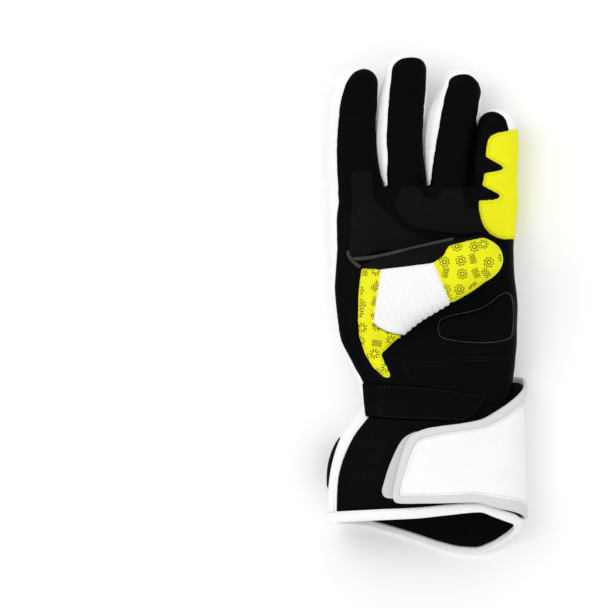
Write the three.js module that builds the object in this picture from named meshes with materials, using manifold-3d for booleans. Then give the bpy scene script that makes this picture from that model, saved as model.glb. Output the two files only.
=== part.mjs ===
// A left-hand racing gauntlet glove for motorcycling, lying on its back with the palm up.
// Millimetres. +X to the little finger's side, +Y to the fingertips, +Z up out of the palm.
// The origin is on the surface that the glove rests on, under the middle of its box.
import * as THREE from "three";
import { mergeVertices } from "three/addons/utils/BufferGeometryUtils.js";
import Module from "manifold-3d";

const wasm = await Module();
wasm.setup();

// Driving dimensions.
const WALL = 2.2; // leather with its lining
const GAP = 0.3; // between neighbouring pieces
const OVERLAY = 1.5; // grip panels and patches sewn on top
const PAD = 3.4; // padded patches
const FLAP = 2.4; // the cuff's flap, two leathers thick
const BINDING = 3.4; // a folded strip round the cuff's edge
const FLAP_BINDING = 2.9;
const TAPE = 1.3; // hook and loop tape
const FINGER_CUT = 80; // Y of the seam across the roots of the fingers
const TOP = 90; // above everything
const PANEL_FLOOR = 22; // below the thumb's panels on the palm
const HAND_SIDES = 20;
const FINGER_SIDES = 12;
const THUMB_SIDES = 16;

// The hand's trunk from wrist to finger roots. A row is a section across Y:
// x and z its middle, wide and high its half sizes, and the height of the seam between the
// black palm and the white back at the index finger's side and at the little finger's side.
const TRUNK = [
  { y: -66, x: 8.0, z: 20.3, wide: 50.0, high: 16.8, seamIndex: 13, seamLittle: 12 },
  { y: -54, x: 6.3, z: 20.0, wide: 50.8, high: 16.8, seamIndex: 13, seamLittle: 12 },
  { y: -41, x: 4.3, z: 18.3, wide: 54.5, high: 17.3, seamIndex: 13, seamLittle: 11 },
  { y: -21, x: 0.8, z: 16.0, wide: 59.0, high: 17.3, seamIndex: 17, seamLittle: 10 },
  { y: 2, x: -0.6, z: 15.5, wide: 60.5, high: 17.0, seamIndex: 21, seamLittle: 10 },
  { y: 35, x: -2.8, z: 15.0, wide: 60.3, high: 16.3, seamIndex: 23.5, seamLittle: 10 },
  { y: 58, x: -2.6, z: 14.0, wide: 61.0, high: 14.6, seamIndex: 22, seamLittle: 10 },
  { y: 70, x: -2.4, z: 13.6, wide: 61.6, high: 12.5, seamIndex: 23.6, seamLittle: 10 },
  { y: 76, x: -2.3, z: 13.4, wide: 61.0, high: 9.5, seamIndex: 24.4, seamLittle: 10 },
];
const TRUNK_SQUARENESS = 2.6;

// Each finger from its root to where its tip begins to round off. tip is the rounded length
// and lean how far the tip goes to the little finger's side. The seam between the black front
// and the white back runs through the finger at middle half-heights over its axis, atTip at
// its end, and rises by slope half-heights for each half-width to the little finger's side.
const FINGERS = {
  index: {
    tip: 12.6,
    lean: 1.6,
    seam: { middle: 0.45, atTip: 0.5, slope: -0.7 },
    rows: [
      { y: 48, x: -44.0, z: 13.4, wide: 14.0, high: 9.0 },
      { y: 77, x: -46.2, z: 14.2, wide: 18.6, high: 12.4 },
      { y: 87, x: -48.0, z: 14.8, wide: 17.4, high: 12.2 },
      { y: 105, x: -49.2, z: 16.6, wide: 16.4, high: 12.0 },
      { y: 127, x: -48.4, z: 20.2, wide: 16.0, high: 11.6 },
      { y: 143.4, x: -46.5, z: 23.6, wide: 14.3, high: 10.9 },
    ],
  },
  middle: {
    tip: 13.2,
    lean: 1.4,
    seam: { middle: 0.45, atTip: 0.55, slope: -0.7 },
    rows: [
      { y: 48, x: -13.0, z: 13.4, wide: 11.0, high: 9.0 },
      { y: 77, x: -13.8, z: 14.4, wide: 14.0, high: 12.6 },
      { y: 87, x: -15.6, z: 15.2, wide: 14.8, high: 12.5 },
      { y: 110, x: -17.5, z: 17.8, wide: 15.6, high: 12.2 },
      { y: 134, x: -15.6, z: 22.6, wide: 15.6, high: 11.6 },
      { y: 152, x: -13.5, z: 27.0, wide: 13.6, high: 10.8 },
    ],
  },
  ring: {
    tip: 11.0,
    lean: 0.8,
    seam: { middle: 0.42, atTip: 0.75, slope: -0.65 },
    rows: [
      { y: 48, x: 14.4, z: 13.4, wide: 11.0, high: 9.0 },
      { y: 77, x: 14.5, z: 14.4, wide: 13.5, high: 12.4 },
      { y: 88, x: 14.3, z: 15.4, wide: 14.4, high: 12.3 },
      { y: 102, x: 14.4, z: 17.0, wide: 15.6, high: 12.1 },
      { y: 124, x: 18.0, z: 20.8, wide: 16.9, high: 11.6 },
      { y: 136, x: 21.0, z: 23.4, wide: 15.1, high: 11.2 },
      { y: 144, x: 22.9, z: 25.2, wide: 13.0, high: 10.8 },
    ],
  },
  little: {
    tip: 11.4,
    lean: 0.7,
    seam: { middle: 0.35, atTip: 0.6, slope: 0.6 },
    rows: [
      { y: 40, x: 43.0, z: 13.2, wide: 12.0, high: 8.8 },
      { y: 68, x: 43.6, z: 13.8, wide: 15.3, high: 11.6 },
      { y: 91, x: 44.7, z: 15.6, wide: 14.9, high: 11.3 },
      { y: 106, x: 46.2, z: 17.8, wide: 13.9, high: 10.8 },
      { y: 117.2, x: 46.7, z: 19.8, wide: 12.8, high: 10.5 },
    ],
  },
};
const FINGER_SQUARENESS = 2.2;

// The thumb, folded across the palm. Its sections all stand square to one heading.
// The seams are the heights, in half thicknesses, of the edge of the thumb's back panels
// past the finger side and past the wrist side.
const THUMB_HEADING = 12;
const THUMB_TIP = { tip: 12.2, lean: 3.2 };
const THUMB = [
  { x: -46.0, y: -12.0, z: 15.0, wide: 27.0, high: 12.0, seamFinger: 0, seamWrist: -0.35 },
  { x: -37.1, y: -4.3, z: 21.5, wide: 31.5, high: 17.0, seamFinger: 0, seamWrist: -0.35 },
  { x: -24.6, y: 4.4, z: 33.0, wide: 28.6, high: 17.6, seamFinger: 0, seamWrist: -0.35 },
  { x: -6.7, y: 12.8, z: 42.6, wide: 23.4, high: 15.0, seamFinger: 0, seamWrist: -0.35 },
  { x: 9.1, y: 19.0, z: 46.2, wide: 20.2, high: 12.8, seamFinger: 0, seamWrist: -0.35 },
  { x: 25.6, y: 25.2, z: 46.8, wide: 17.8, high: 12.0, seamFinger: 0, seamWrist: -0.3 },
  { x: 38.0, y: 29.0, z: 46.6, wide: 15.2, high: 11.4, seamFinger: -0.05, seamWrist: -0.2 },
];
const RIBS = { from: 1.6, to: 4.6, count: 8, height: 0.6 }; // along THUMB's rows

// The gauntlet's outer surface. A row is a section across Y, by its four sides, and stand is
// how far the flap stands off it at the little finger's side.
const CUFF = [
  { y: -41, thumb: -50.2, little: 58.8, bottom: 1.0, top: 35.6, stand: 3.4 },
  { y: -54, thumb: -44.5, little: 57.1, bottom: 3.2, top: 36.8, stand: 4.2 },
  { y: -66, thumb: -42.0, little: 58.0, bottom: 3.5, top: 37.1, stand: 2.6 },
  { y: -77, thumb: -49.4, little: 60.6, bottom: 0.6, top: 39.6, stand: 0.4 },
  { y: -88, thumb: -56.6, little: 61.4, bottom: -1.2, top: 41.6, stand: 0 },
  { y: -105, thumb: -62.2, little: 61.6, bottom: -1.4, top: 44.6, stand: 0 },
  { y: -117, thumb: -64.0, little: 62.0, bottom: -1.4, top: 46.4, stand: 0 },
  { y: -128, thumb: -65.0, little: 62.6, bottom: -1.4, top: 47.6, stand: 0 },
  { y: -144, thumb: -65.2, little: 63.2, bottom: -1.4, top: 48.6, stand: 0 },
  { y: -167, thumb: -63.0, little: 62.0, bottom: -1.4, top: 49.0, stand: 0 },
];
const CUFF_TOP = -66.3; // Y of the seam round the wrist
const CUFF_LITTLE_SEAM = -10; // degrees round from the little finger's side, under the flap
const CUFF_THUMB_SEAM = [
  { y: -66, angle: 137 },
  { y: -74.5, angle: 141.5 },
  { y: -86, angle: 145 },
  { y: -105, angle: 151 },
  { y: -118, angle: 152.8 },
  { y: -167, angle: 152.8 },
];
const SEAM_ANGLE = 0.45; // the gap between the cuff's pieces, in degrees

// Where the gauntlet ends, seen from above: on the palm side and on the back.
const FRONT_END = [
  { x: -66, y: -144.6 },
  { x: -30, y: -143.2 },
  { x: -6, y: -142.6 },
  { x: 14, y: -140.4 },
  { x: 36, y: -137.8 },
  { x: 50, y: -141.2 },
  { x: 66, y: -146.6 },
];
const BACK_END = [
  { x: -66, y: -144.6 },
  { x: -42, y: -146.8 },
  { x: -26, y: -150.4 },
  { x: -6, y: -156.4 },
  { x: 9, y: -161.4 },
  { x: 24, y: -165.0 },
  { x: 34, y: -165.6 },
  { x: 44, y: -162.4 },
  { x: 54, y: -156.4 },
  { x: 66, y: -146.6 },
];
const HEM = { front: 7.4, back: 5.6 };
const LINING = { thick: 0.8, off: 0.6, from: -110, fromAngle: 180, toAngle: 348 };

// The flap's edge from its root on the back, over the palm side and back to its root.
// outer is the binding's free edge and inner the edge of the white field, x as seen from above.
// angle, where a row has it, is a place round the little finger's side instead of an x.
const FLAP_EDGE = [
  { outer: { angle: -50, y: -48.6 }, inner: { angle: -50, y: -53.6 } },
  { outer: { angle: -24, y: -47.6 }, inner: { angle: -24, y: -52.8 } },
  { outer: { angle: 2, y: -51.0 }, inner: { angle: -1, y: -57.6 } },
  { outer: { angle: 17, y: -57.6 }, inner: { angle: 14, y: -65.0 } },
  { outer: { x: 52.2, y: -65.5 }, inner: { x: 57.0, y: -72.4 } },
  { outer: { x: 44.0, y: -71.6 }, inner: { x: 45.0, y: -79.6 } },
  { outer: { x: 36.0, y: -76.0 }, inner: { x: 35.0, y: -81.6 } },
  { outer: { x: 22.0, y: -78.9 }, inner: { x: 21.0, y: -83.7 } },
  { outer: { x: 8.8, y: -80.6 }, inner: { x: 8.4, y: -86.0 } },
  { outer: { x: -3.6, y: -83.4 }, inner: { x: -3.6, y: -89.2 } },
  { outer: { x: -9.6, y: -85.6 }, inner: { x: -5.6, y: -91.0 } },
  { outer: { x: -12.8, y: -91.0 }, inner: { x: -7.6, y: -95.0 } },
  { outer: { x: -18.4, y: -109.6 }, inner: { x: -13.0, y: -109.6 } },
  { outer: { x: -21.2, y: -122.4 }, inner: { x: -16.6, y: -120.6 } },
  { outer: { x: -21.0, y: -129.6 }, inner: { x: -17.0, y: -125.2 } },
  { outer: { x: -16.8, y: -132.2 }, inner: { x: -14.6, y: -126.8 } },
  { outer: { x: 3.8, y: -131.6 }, inner: { x: 3.8, y: -126.4 } },
  { outer: { x: 20.0, y: -131.2 }, inner: { x: 20.0, y: -125.8 } },
  { outer: { x: 33.0, y: -131.2 }, inner: { x: 32.0, y: -125.4 } },
  { outer: { x: 45.0, y: -133.8 }, inner: { x: 45.0, y: -127.8 } },
  { outer: { x: 58.0, y: -137.0 }, inner: { angle: 16, y: -131.0 } },
  { outer: { angle: 4, y: -141.4 }, inner: { angle: 0, y: -134.6 } },
  { outer: { angle: -24, y: -143.8 }, inner: { angle: -24, y: -138.2 } },
  { outer: { angle: -50, y: -146.6 }, inner: { angle: -50, y: -141.0 } },
];
const FLAP_SEAM = 0.1; // of the binding's width, the gap between it and the white field
const FLAP_TURN = 11; // the last row of FLAP_EDGE on its upper side
const FLAP_LIFT = { root: 1.0, end: 2.2 }; // off the cuff, at its root and over the tape
const FLAP_SLACK = 1.4; // how much more the flap stands off along its lower edge, mid-way

// The strip of closure tape that shows past the flap's end.
const TAPE_ROWS = [
  { y: -88.0, from: 1.0, to: -13.4 },
  { y: -92.0, from: -1.0, to: -18.0 },
  { y: -100.0, from: -4.0, to: -21.0 },
  { y: -109.0, from: -7.0, to: -24.2 },
  { y: -118.0, from: -10.0, to: -27.0 },
  { y: -124.0, from: -12.0, to: -28.6 },
  { y: -128.4, from: -13.0, to: -26.2 },
];

// The wrist strap from its sewn end on the thumb side to its free end.
const STRAP = [
  { upper: { x: -46.2, y: -52.6 }, lower: { x: -40.6, y: -74.6 } },
  { upper: { x: -36.0, y: -53.0 }, lower: { x: -34.0, y: -75.2 } },
  { upper: { x: -26.4, y: -53.6 }, lower: { x: -29.0, y: -75.4 } },
  { upper: { x: -12.0, y: -54.4 }, lower: { x: -15.0, y: -76.2 } },
  { upper: { x: 0.0, y: -55.2 }, lower: { x: -2.0, y: -76.6 } },
  { upper: { x: 10.0, y: -56.6 }, lower: { x: 8.0, y: -77.0 } },
  { upper: { x: 20.5, y: -58.2 }, lower: { x: 17.0, y: -77.2 } },
  { upper: { x: 31.0, y: -59.8 }, lower: { x: 24.8, y: -77.2 } },
  { upper: { x: 38.8, y: -60.8 }, lower: { x: 28.4, y: -75.4 } },
];
const STRAP_THICK = 2.0;

// The black pad on the thumb side of the cuff's back.
const SIDE_PAD = { fromY: -88, toY: -123, fromAngle: 176, toAngle: 214, thick: 2.6, edge: 0.7 };

// The piping along the thumb's finger side, and the end of it that turns off over the palm.
const PIPING = {
  radius: 0.85,
  main: [
    [19.0, 42.6, 49.6], [4.0, 40.6, 47.2], [-11.6, 37.2, 43.4], [-24.0, 34.6, 39.4],
    [-36.0, 32.0, 35.8], [-44.0, 30.0, 33.6], [-49.0, 30.4, 31.4],
  ],
  hook: [[-52.0, 34.2, 29.0], [-50.6, 30.8, 30.4], [-47.4, 27.6, 32.4], [-43.9, 24.8, 34.6]],
};

// Outlines seen from above.
// The perforated panel over the finger roots, with a scallop under the middle and ring fingers.
const GRIP_FINGERS = [
  { x: 37.4, y: 47.2 }, { x: 34.6, y: 61.8 }, { x: 27.1, y: 63.9 }, { x: 25.6, y: 70.8 },
  { x: 23.1, y: 75.7 }, { x: 17.7, y: 77.2 }, { x: 10.8, y: 77.2 }, { x: 6.9, y: 69.8 },
  { x: -0.9, y: 69.8 }, { x: -3.9, y: 76.7 }, { x: -6.9, y: 78.6 }, { x: -15.7, y: 78.1 },
  { x: -21.6, y: 67.8 }, { x: -21.6, y: 63.4 }, { x: -16.8, y: 56.6 }, { x: -8.4, y: 49 },
  { x: 25.6, y: 44.5 },
];
// The perforated panel from the index finger down to the thumb.
const GRIP_INDEX = [
  { x: -36.3, y: 88.4 }, { x: -48.1, y: 88.4 }, { x: -50, y: 85.5 }, { x: -49.1, y: 65.9 },
  { x: -51, y: 31.5 }, { x: -49, y: 24 }, { x: -20, y: 20 }, { x: 10, y: 30 },
  { x: 14, y: 39.6 }, { x: 5.9, y: 40.6 }, { x: -8.8, y: 46 }, { x: -19.2, y: 55.2 },
  { x: -31.4, y: 65.9 }, { x: -34.3, y: 69.8 }, { x: -35.3, y: 79.6 },
];
// The pad at the heel of the hand.
const HEEL_PAD = [
  { x: 53.5, y: 7 }, { x: 47.2, y: 4.2 }, { x: 41.6, y: -0.7 }, { x: 34.6, y: -4.2 },
  { x: 12.1, y: -9.1 }, { x: 7.9, y: -14 }, { x: 8.6, y: -19.6 }, { x: 13.5, y: -23.2 },
  { x: 30.4, y: -26.2 }, { x: 46, y: -25.6 }, { x: 53.6, y: -22.6 }, { x: 57, y: -12.6 },
  { x: 56.6, y: 2.4 },
];
// The crescent round the thumb's root, with its tongue towards the wrist.
const THUMB_BASE = [
  { x: -29.8, y: 22.8 }, { x: -42.7, y: 23.6 }, { x: -44.8, y: 2.9 }, { x: -44.8, y: -16.4 },
  { x: -43.2, y: -26.5 }, { x: -38.1, y: -37.5 }, { x: -33.1, y: -44.2 },
  { x: -27.1, y: -48.8 }, { x: -24, y: -47.8 }, { x: -26.3, y: -40 }, { x: -29.2, y: -32.9 },
  { x: -23, y: -27.4 }, { x: -14.9, y: -21.1 }, { x: -23, y: -18.9 }, { x: -31.4, y: -15.2 },
  { x: -34.7, y: -11.4 },
];
// Seams across the thumb: along its finger side, and between its stretch panel and its tip.
const THUMB_SIDE_SEAM = [
  { x: -60, y: 24.4 }, { x: -42.7, y: 23.6 }, { x: -29.8, y: 22.8 }, { x: -12, y: 24.9 },
  { x: 4.5, y: 27.1 }, { x: 7.9, y: 29.5 }, { x: 15.8, y: 38.4 }, { x: 22, y: 46 },
  { x: 26, y: 60 },
];
const TIP_SEAM = [
  { x: 4.5, y: 27.1 }, { x: 15.8, y: 0.8 }, { x: 23.8, y: -17.8 },
];
// The guard's inner edge from its top to its bottom, and the two spikes of the finger's black
// leather that reach into it, by the height and x of their points and their roots' two heights.
const GUARD_EDGE = [
  { x: 64, y: 116.0 }, { x: 53.3, y: 114.4 }, { x: 42.6, y: 110.9 }, { x: 39.7, y: 97.4 },
  { x: 36.1, y: 73.0 }, { x: 35.3, y: 66.1 }, { x: 36.9, y: 56.0 }, { x: 40.1, y: 48.4 },
  { x: 45.7, y: 44.0 }, { x: 50.8, y: 42.8 }, { x: 64, y: 43.2 },
];
const GUARD_SPIKES = [
  { y: 90.0, x: 51.6, above: 97.4, below: 86.0 },
  { y: 71.6, x: 49.7, above: 78.1, below: 68.3 },
];
const SPIKE_STEPS = [0.35, 0.75]; // from a spike's root to its point
const SPIKE_SAG = { above: 0.98, below: 0.75 }; // how far its edges bend from straight
const GUARD_REACH = 75; // x, beyond the finger

const radians = THREE.MathUtils.degToRad;
const power = (value, exponent) => Math.sign(value) * Math.abs(value) ** exponent;

// The value of a column of a table at a place along another column, in straight steps.
function along(rows, column, key, place) {
  const rising = rows[0][key] < rows[rows.length - 1][key];
  const at = rows.findIndex((row) => (rising ? row[key] >= place : row[key] <= place));
  if (at === 0) return rows[0][column];
  if (at < 0) return rows[rows.length - 1][column];
  const [before, after] = [rows[at - 1], rows[at]];
  const share = (place - before[key]) / (after[key] - before[key]);
  return before[column] + share * (after[column] - before[column]);
}

// A closed solid of a list of points and triangles, turned to face out.
function solidOf(points, triangles) {
  const volume = triangles.reduce((sum, [a, b, c]) => {
    const cross = new THREE.Vector3().crossVectors(points[b], points[c]);
    return sum + points[a].dot(cross);
  }, 0);
  const facing = volume < 0 ? triangles.map(([a, b, c]) => [a, c, b]) : triangles;
  const geometry = new THREE.BufferGeometry().setFromPoints(points);
  geometry.setIndex(facing.flat());
  return solid(geometry);
}

// A geometry's closed mesh as a solid that can be joined and cut.
function solid(geometry) {
  const bare = new THREE.BufferGeometry();
  bare.setAttribute("position", geometry.getAttribute("position"));
  bare.setIndex(geometry.getIndex());
  const merged = mergeVertices(bare, 1e-4);
  return new wasm.Manifold(
    new wasm.Mesh({
      numProp: 3,
      vertProperties: new Float32Array(merged.attributes.position.array),
      triVerts: new Uint32Array(merged.index.array),
    }),
  );
}

// Two facing grids of points, an outer and an inner one, closed round their four edges.
// place(u, v, w) gives a point, with u and v from 0 to 1 and w 0 inside and 1 outside.
function sheet(across, down, place) {
  const points = [];
  const triangles = [];
  const index = (i, j, w) => (w * (across + 1) + i) * (down + 1) + j;
  for (const w of [0, 1])
    for (let i = 0; i <= across; i++)
      for (let j = 0; j <= down; j++) points.push(place(i / across, j / down, w));
  const quad = (a, b, c, d) => triangles.push([a, b, c], [a, c, d]);
  for (let i = 0; i < across; i++)
    for (let j = 0; j < down; j++) {
      quad(index(i, j, 1), index(i + 1, j, 1), index(i + 1, j + 1, 1), index(i, j + 1, 1));
      quad(index(i, j, 0), index(i, j + 1, 0), index(i + 1, j + 1, 0), index(i + 1, j, 0));
    }
  for (let i = 0; i < across; i++) {
    quad(index(i, 0, 0), index(i + 1, 0, 0), index(i + 1, 0, 1), index(i, 0, 1));
    quad(index(i, down, 1), index(i + 1, down, 1), index(i + 1, down, 0), index(i, down, 0));
  }
  for (let j = 0; j < down; j++) {
    quad(index(0, j, 1), index(0, j + 1, 1), index(0, j + 1, 0), index(0, j, 0));
    quad(index(across, j, 0), index(across, j + 1, 0), index(across, j + 1, 1), index(across, j, 1));
  }
  return solidOf(points, triangles);
}

// A closed tube through sections that stand square to a heading, rounded off past the last.
// grow moves the surface out, or in if negative.
function loft({ rows, heading, tip, lean, squareness, sides }, grow) {
  const turn = radians(heading);
  const forward = new THREE.Vector3(Math.cos(turn), Math.sin(turn), 0);
  const across = new THREE.Vector3(Math.sin(turn), -Math.cos(turn), 0);
  const up = new THREE.Vector3(0, 0, 1);
  const sections = rows.map((row) => ({
    middle: new THREE.Vector3(row.x, row.y, row.z),
    wide: row.wide + grow + (row.rib ?? 0),
    high: row.high + grow + (row.rib ?? 0),
  }));
  if (tip) {
    const last = sections[sections.length - 1];
    const rise = rows[rows.length - 1].z - rows[rows.length - 2].z;
    for (const share of [0.45, 0.78, 0.97]) {
      const round = (1 - share ** 2.2) ** (1 / 2.2);
      const middle = last.middle
        .clone()
        .addScaledVector(forward, share * (tip + grow))
        .addScaledVector(across, share * lean)
        .addScaledVector(up, share * rise * 0.6);
      sections.push({ middle, wide: last.wide * round, high: last.high * round });
    }
  }
  const points = [sections[0].middle, sections[sections.length - 1].middle];
  for (const { middle, wide, high } of sections)
    for (let k = 0; k < sides; k++) {
      const angle = (2 * Math.PI * (k + 0.5)) / sides;
      points.push(
        middle
          .clone()
          .addScaledVector(across, wide * power(Math.cos(angle), 2 / squareness))
          .addScaledVector(up, high * power(Math.sin(angle), 2 / squareness)),
      );
    }
  const at = (section, k) => 2 + section * sides + (k % sides);
  const triangles = [];
  for (let k = 0; k < sides; k++) {
    triangles.push([0, at(0, k), at(0, k + 1)]);
    triangles.push([1, at(sections.length - 1, k + 1), at(sections.length - 1, k)]);
    for (let i = 0; i + 1 < sections.length; i++) {
      triangles.push([at(i, k), at(i + 1, k), at(i + 1, k + 1)]);
      triangles.push([at(i, k), at(i + 1, k + 1), at(i, k + 1)]);
    }
  }
  return solidOf(points, triangles);
}

const trunk = (grow) =>
  loft({ rows: TRUNK, heading: 90, squareness: TRUNK_SQUARENESS, sides: HAND_SIDES }, grow);

const finger = (name, grow) =>
  loft(
    { ...FINGERS[name], heading: 90, squareness: FINGER_SQUARENESS, sides: FINGER_SIDES },
    grow,
  );

function thumb(grow, rows = THUMB) {
  return loft(
    { rows, heading: THUMB_HEADING, ...THUMB_TIP, squareness: 2.2, sides: THUMB_SIDES },
    grow,
  );
}

// The thumb's rows with the folds of its stretch panel.
function ribbedThumb() {
  const mix = (place) => {
    const [low, share] = [Math.floor(place), place % 1];
    const [before, after] = [THUMB[low], THUMB[Math.min(low + 1, THUMB.length - 1)]];
    return Object.fromEntries(
      Object.keys(before).map((key) => [key, before[key] + share * (after[key] - before[key])]),
    );
  };
  const rows = THUMB.slice(0, Math.ceil(RIBS.from));
  for (let i = 0; i <= 2 * RIBS.count; i++) {
    const place = RIBS.from + (i / (2 * RIBS.count)) * (RIBS.to - RIBS.from);
    rows.push({ ...mix(place), rib: i % 2 ? RIBS.height : 0 });
  }
  return [...rows, ...THUMB.slice(Math.floor(RIBS.to) + 1)];
}

// A box of space between two corners.
function block(low, high) {
  const size = high.map((value, i) => value - low[i]);
  const middle = high.map((value, i) => (value + low[i]) / 2);
  return solid(new THREE.BoxGeometry(...size).translate(...middle));
}

// An outline seen from above, as a solid from one height to another.
function prism(outline, from, to) {
  const shape = new THREE.Shape(outline.map(({ x, y }) => new THREE.Vector2(x, y)));
  const depth = to - from;
  const geometry = new THREE.ExtrudeGeometry(shape, { depth, bevelEnabled: false });
  return solid(geometry.translate(0, 0, from));
}

// A thin upright wall along a line seen from above.
function fence(line, from, to) {
  return sheet(line.length - 1, 1, (u, v, w) => {
    const i = Math.round(u * (line.length - 1));
    const [before, after] = [line[Math.max(i - 1, 0)], line[Math.min(i + 1, line.length - 1)]];
    const side = new THREE.Vector2(after.y - before.y, before.x - after.x).normalize();
    const shift = (w - 0.5) * GAP;
    const { x, y } = line[i];
    return new THREE.Vector3(x + side.x * shift, y + side.y * shift, from + v * (to - from));
  });
}

// A thin lying sheet through pairs of points, as the cut of a seam.
function seam(pairs) {
  return sheet(pairs.length - 1, 1, (u, v, w) => {
    const [left, right] = pairs[Math.round(u * (pairs.length - 1))];
    return left.clone().lerp(right, v).add(new THREE.Vector3(0, 0, (w - 0.5) * GAP));
  });
}

const join = (solids) => solids.reduce((sum, one) => sum.add(one));
const bySize = (made) => made.decompose().sort((a, b) => b.volume() - a.volume());
const largest = (made) => bySize(made)[0];

// The two largest pieces of a solid, the lower one first.
function lowerAndUpper(made) {
  const height = (piece) => piece.boundingBox().min[2] + piece.boundingBox().max[2];
  return bySize(made)
    .slice(0, 2)
    .sort((a, b) => height(a) - height(b));
}

const names = Object.keys(FINGERS);
const aboveFloor = (grow) => block([-150, -250, -grow], [150, 250, TOP * 2]);
const handWithoutThumb = (grow) => join([trunk(grow), ...names.map((name) => finger(name, grow))]);
const outerHand = handWithoutThumb(0).intersect(aboveFloor(0));
const cavity = join([trunk(-WALL), thumb(-WALL), ...names.map((name) => finger(name, -WALL))])
  .add(sleeve(-66.5, -60, -WALL))
  .intersect(aboveFloor(-WALL));

// The trunk's last section carried on, which opens the wrist end.
function sleeve(from, to, grow) {
  const row = TRUNK[0];
  const rows = [from - 8, to].map((y) => ({ ...row, y }));
  return loft({ rows, heading: 90, squareness: TRUNK_SQUARENESS, sides: HAND_SIDES }, grow);
}

const parts = new Map(); // name to { made, look }

const LOOKS = {
  blackLeather: { color: 0x0a0a0b, roughness: 0.55 },
  gripLeather: { color: 0x141416, roughness: 0.7 },
  whiteLeather: { color: 0xf6f6f4, roughness: 0.5 },
  whiteStretch: { color: 0xfafafa, roughness: 0.8 },
  yellowLeather: { color: 0xecec14, roughness: 0.5 },
  greyBinding: { color: 0xe6e6e6, roughness: 0.6 },
  darkCloth: { color: 0x161616, roughness: 0.95 },
  greyTape: { color: 0xcdcdcd, roughness: 0.85 },
  darkPiping: { color: 0x343434, roughness: 0.6 },
};

const keep = (name, look, made) => parts.set(name, { made, look });

// Each finger is a stall of two panels: the black front and the white back with its side wall.
function fingerPanels(name) {
  const { rows, seam: cut, tip } = FINGERS[name];
  const shell = finger(name, 0)
    .subtract(finger(name, -WALL))
    .intersect(block([-150, FINGER_CUT, -10], [150, 250, TOP]));
  const reach = 1.3;
  const [before, last] = rows.slice(-2);
  const beyond = { ...last, y: last.y + 2 * tip, z: last.z + 0.6 * (last.z - before.z) };
  const pairs = [...rows.slice(1), beyond].map((row) =>
    [-reach, reach].map((side) => {
      const middle = row === beyond ? 2 * cut.atTip - cut.middle : cut.middle;
      const height = middle + cut.slope * side;
      return new THREE.Vector3(row.x + side * row.wide, row.y, row.z + height * row.high);
    }),
  );
  const [back, front] = lowerAndUpper(shell.subtract(seam(pairs)));
  keep(`${name}_finger_front`, "blackLeather", front);
  keep(`${name}_finger_back`, "whiteLeather", back);
}

// The palm and the back of the hand, with the hole where the thumb goes in. The seam between
// them runs on past the trunk's two ends.
function handPanels() {
  const reach = 80;
  const runOn = { wrist: -4, fingers: 8 };
  const shell = outerHand
    .subtract(cavity)
    .intersect(block([-150, TRUNK[0].y - 1, -10], [150, FINGER_CUT - GAP, TOP]));
  const pairs = TRUNK.map(({ y, x, wide, seamIndex, seamLittle }) => {
    const slope = (seamLittle - seamIndex) / (2 * wide);
    const first = y === TRUNK[0].y;
    const last = y === TRUNK[TRUNK.length - 1].y;
    const place = y + (first ? runOn.wrist : 0) + (last ? runOn.fingers : 0);
    return [-reach, reach].map(
      (side) => new THREE.Vector3(side, place, seamIndex + slope * (side - x + wide)),
    );
  });
  const base = prism(THUMB_BASE, PANEL_FLOOR, TOP);
  const [back, front] = lowerAndUpper(shell.subtract(seam(pairs)));
  keep("back_leather", "whiteLeather", back);
  keep("palm_leather", "blackLeather", largest(front.subtract(widened(THUMB_BASE, PANEL_FLOOR))));
  const whole = join([outerHand, thumb(0)]).subtract(cavity);
  keep("thumb_base_panel", "yellowLeather", largest(whole.intersect(base)));
}

// An outline's solid with its edge moved out by the gap between pieces.
function widened(outline, from) {
  const middle = prism(outline, from, TOP);
  return outline.reduce((sum, point, i) => {
    const next = outline[(i + 1) % outline.length];
    return sum.add(fence([point, next], from, TOP)).add(post(point, from));
  }, middle);
}

// A thin upright post, which fills the corner between two fences.
function post({ x, y }, from) {
  const pin = new THREE.CylinderGeometry(GAP / 2, GAP / 2, TOP - from, 6);
  pin.rotateX(Math.PI / 2).translate(x, y, (TOP + from) / 2);
  return solid(pin);
}

// The thumb: its back in two panels, a side panel and its underside, which stands on the palm.
function thumbPanels() {
  const reach = 1.2;
  const turn = radians(THUMB_HEADING);
  const side = new THREE.Vector3(-Math.sin(turn), Math.cos(turn), 0);
  const end = THUMB[THUMB.length - 1];
  const beyond = { ...end, x: end.x + 24, y: end.y + 5 };
  const pairs = [...THUMB, beyond].map(({ x, y, z, wide, high, seamFinger, seamWrist }) =>
    [
      [reach, seamFinger],
      [-reach, seamWrist],
    ].map(([out, height]) =>
      new THREE.Vector3(x, y, z + height * high).addScaledVector(side, out * wide),
    ),
  );
  const clear = join([handWithoutThumb(GAP), widened(THUMB_BASE, PANEL_FLOOR), seam(pairs)]);
  const panels = (outer) => {
    const [under, over] = lowerAndUpper(outer.subtract(cavity).subtract(clear));
    const cuts = [THUMB_SIDE_SEAM, TIP_SEAM].map((line) => fence(line, PANEL_FLOOR, TOP));
    const far = (piece, axis) => piece.boundingBox().max[axis];
    const backs = bySize(over.subtract(join(cuts))).slice(0, 3);
    const [tip, ...rest] = backs.sort((a, b) => far(b, 0) - far(a, 0));
    const [fingerSide, knuckle] = rest.sort((a, b) => far(b, 1) - far(a, 1));
    return { under, knuckle, tip, fingerSide };
  };
  const plain = panels(thumb(0));
  keep("thumb_underside", "blackLeather", plain.under);
  keep("thumb_side_panel", "gripLeather", plain.fingerSide);
  keep("thumb_tip_panel", "yellowLeather", plain.tip);
  keep("thumb_stretch_panel", "whiteStretch", panels(thumb(0, ribbedThumb())).knuckle);
}

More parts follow.
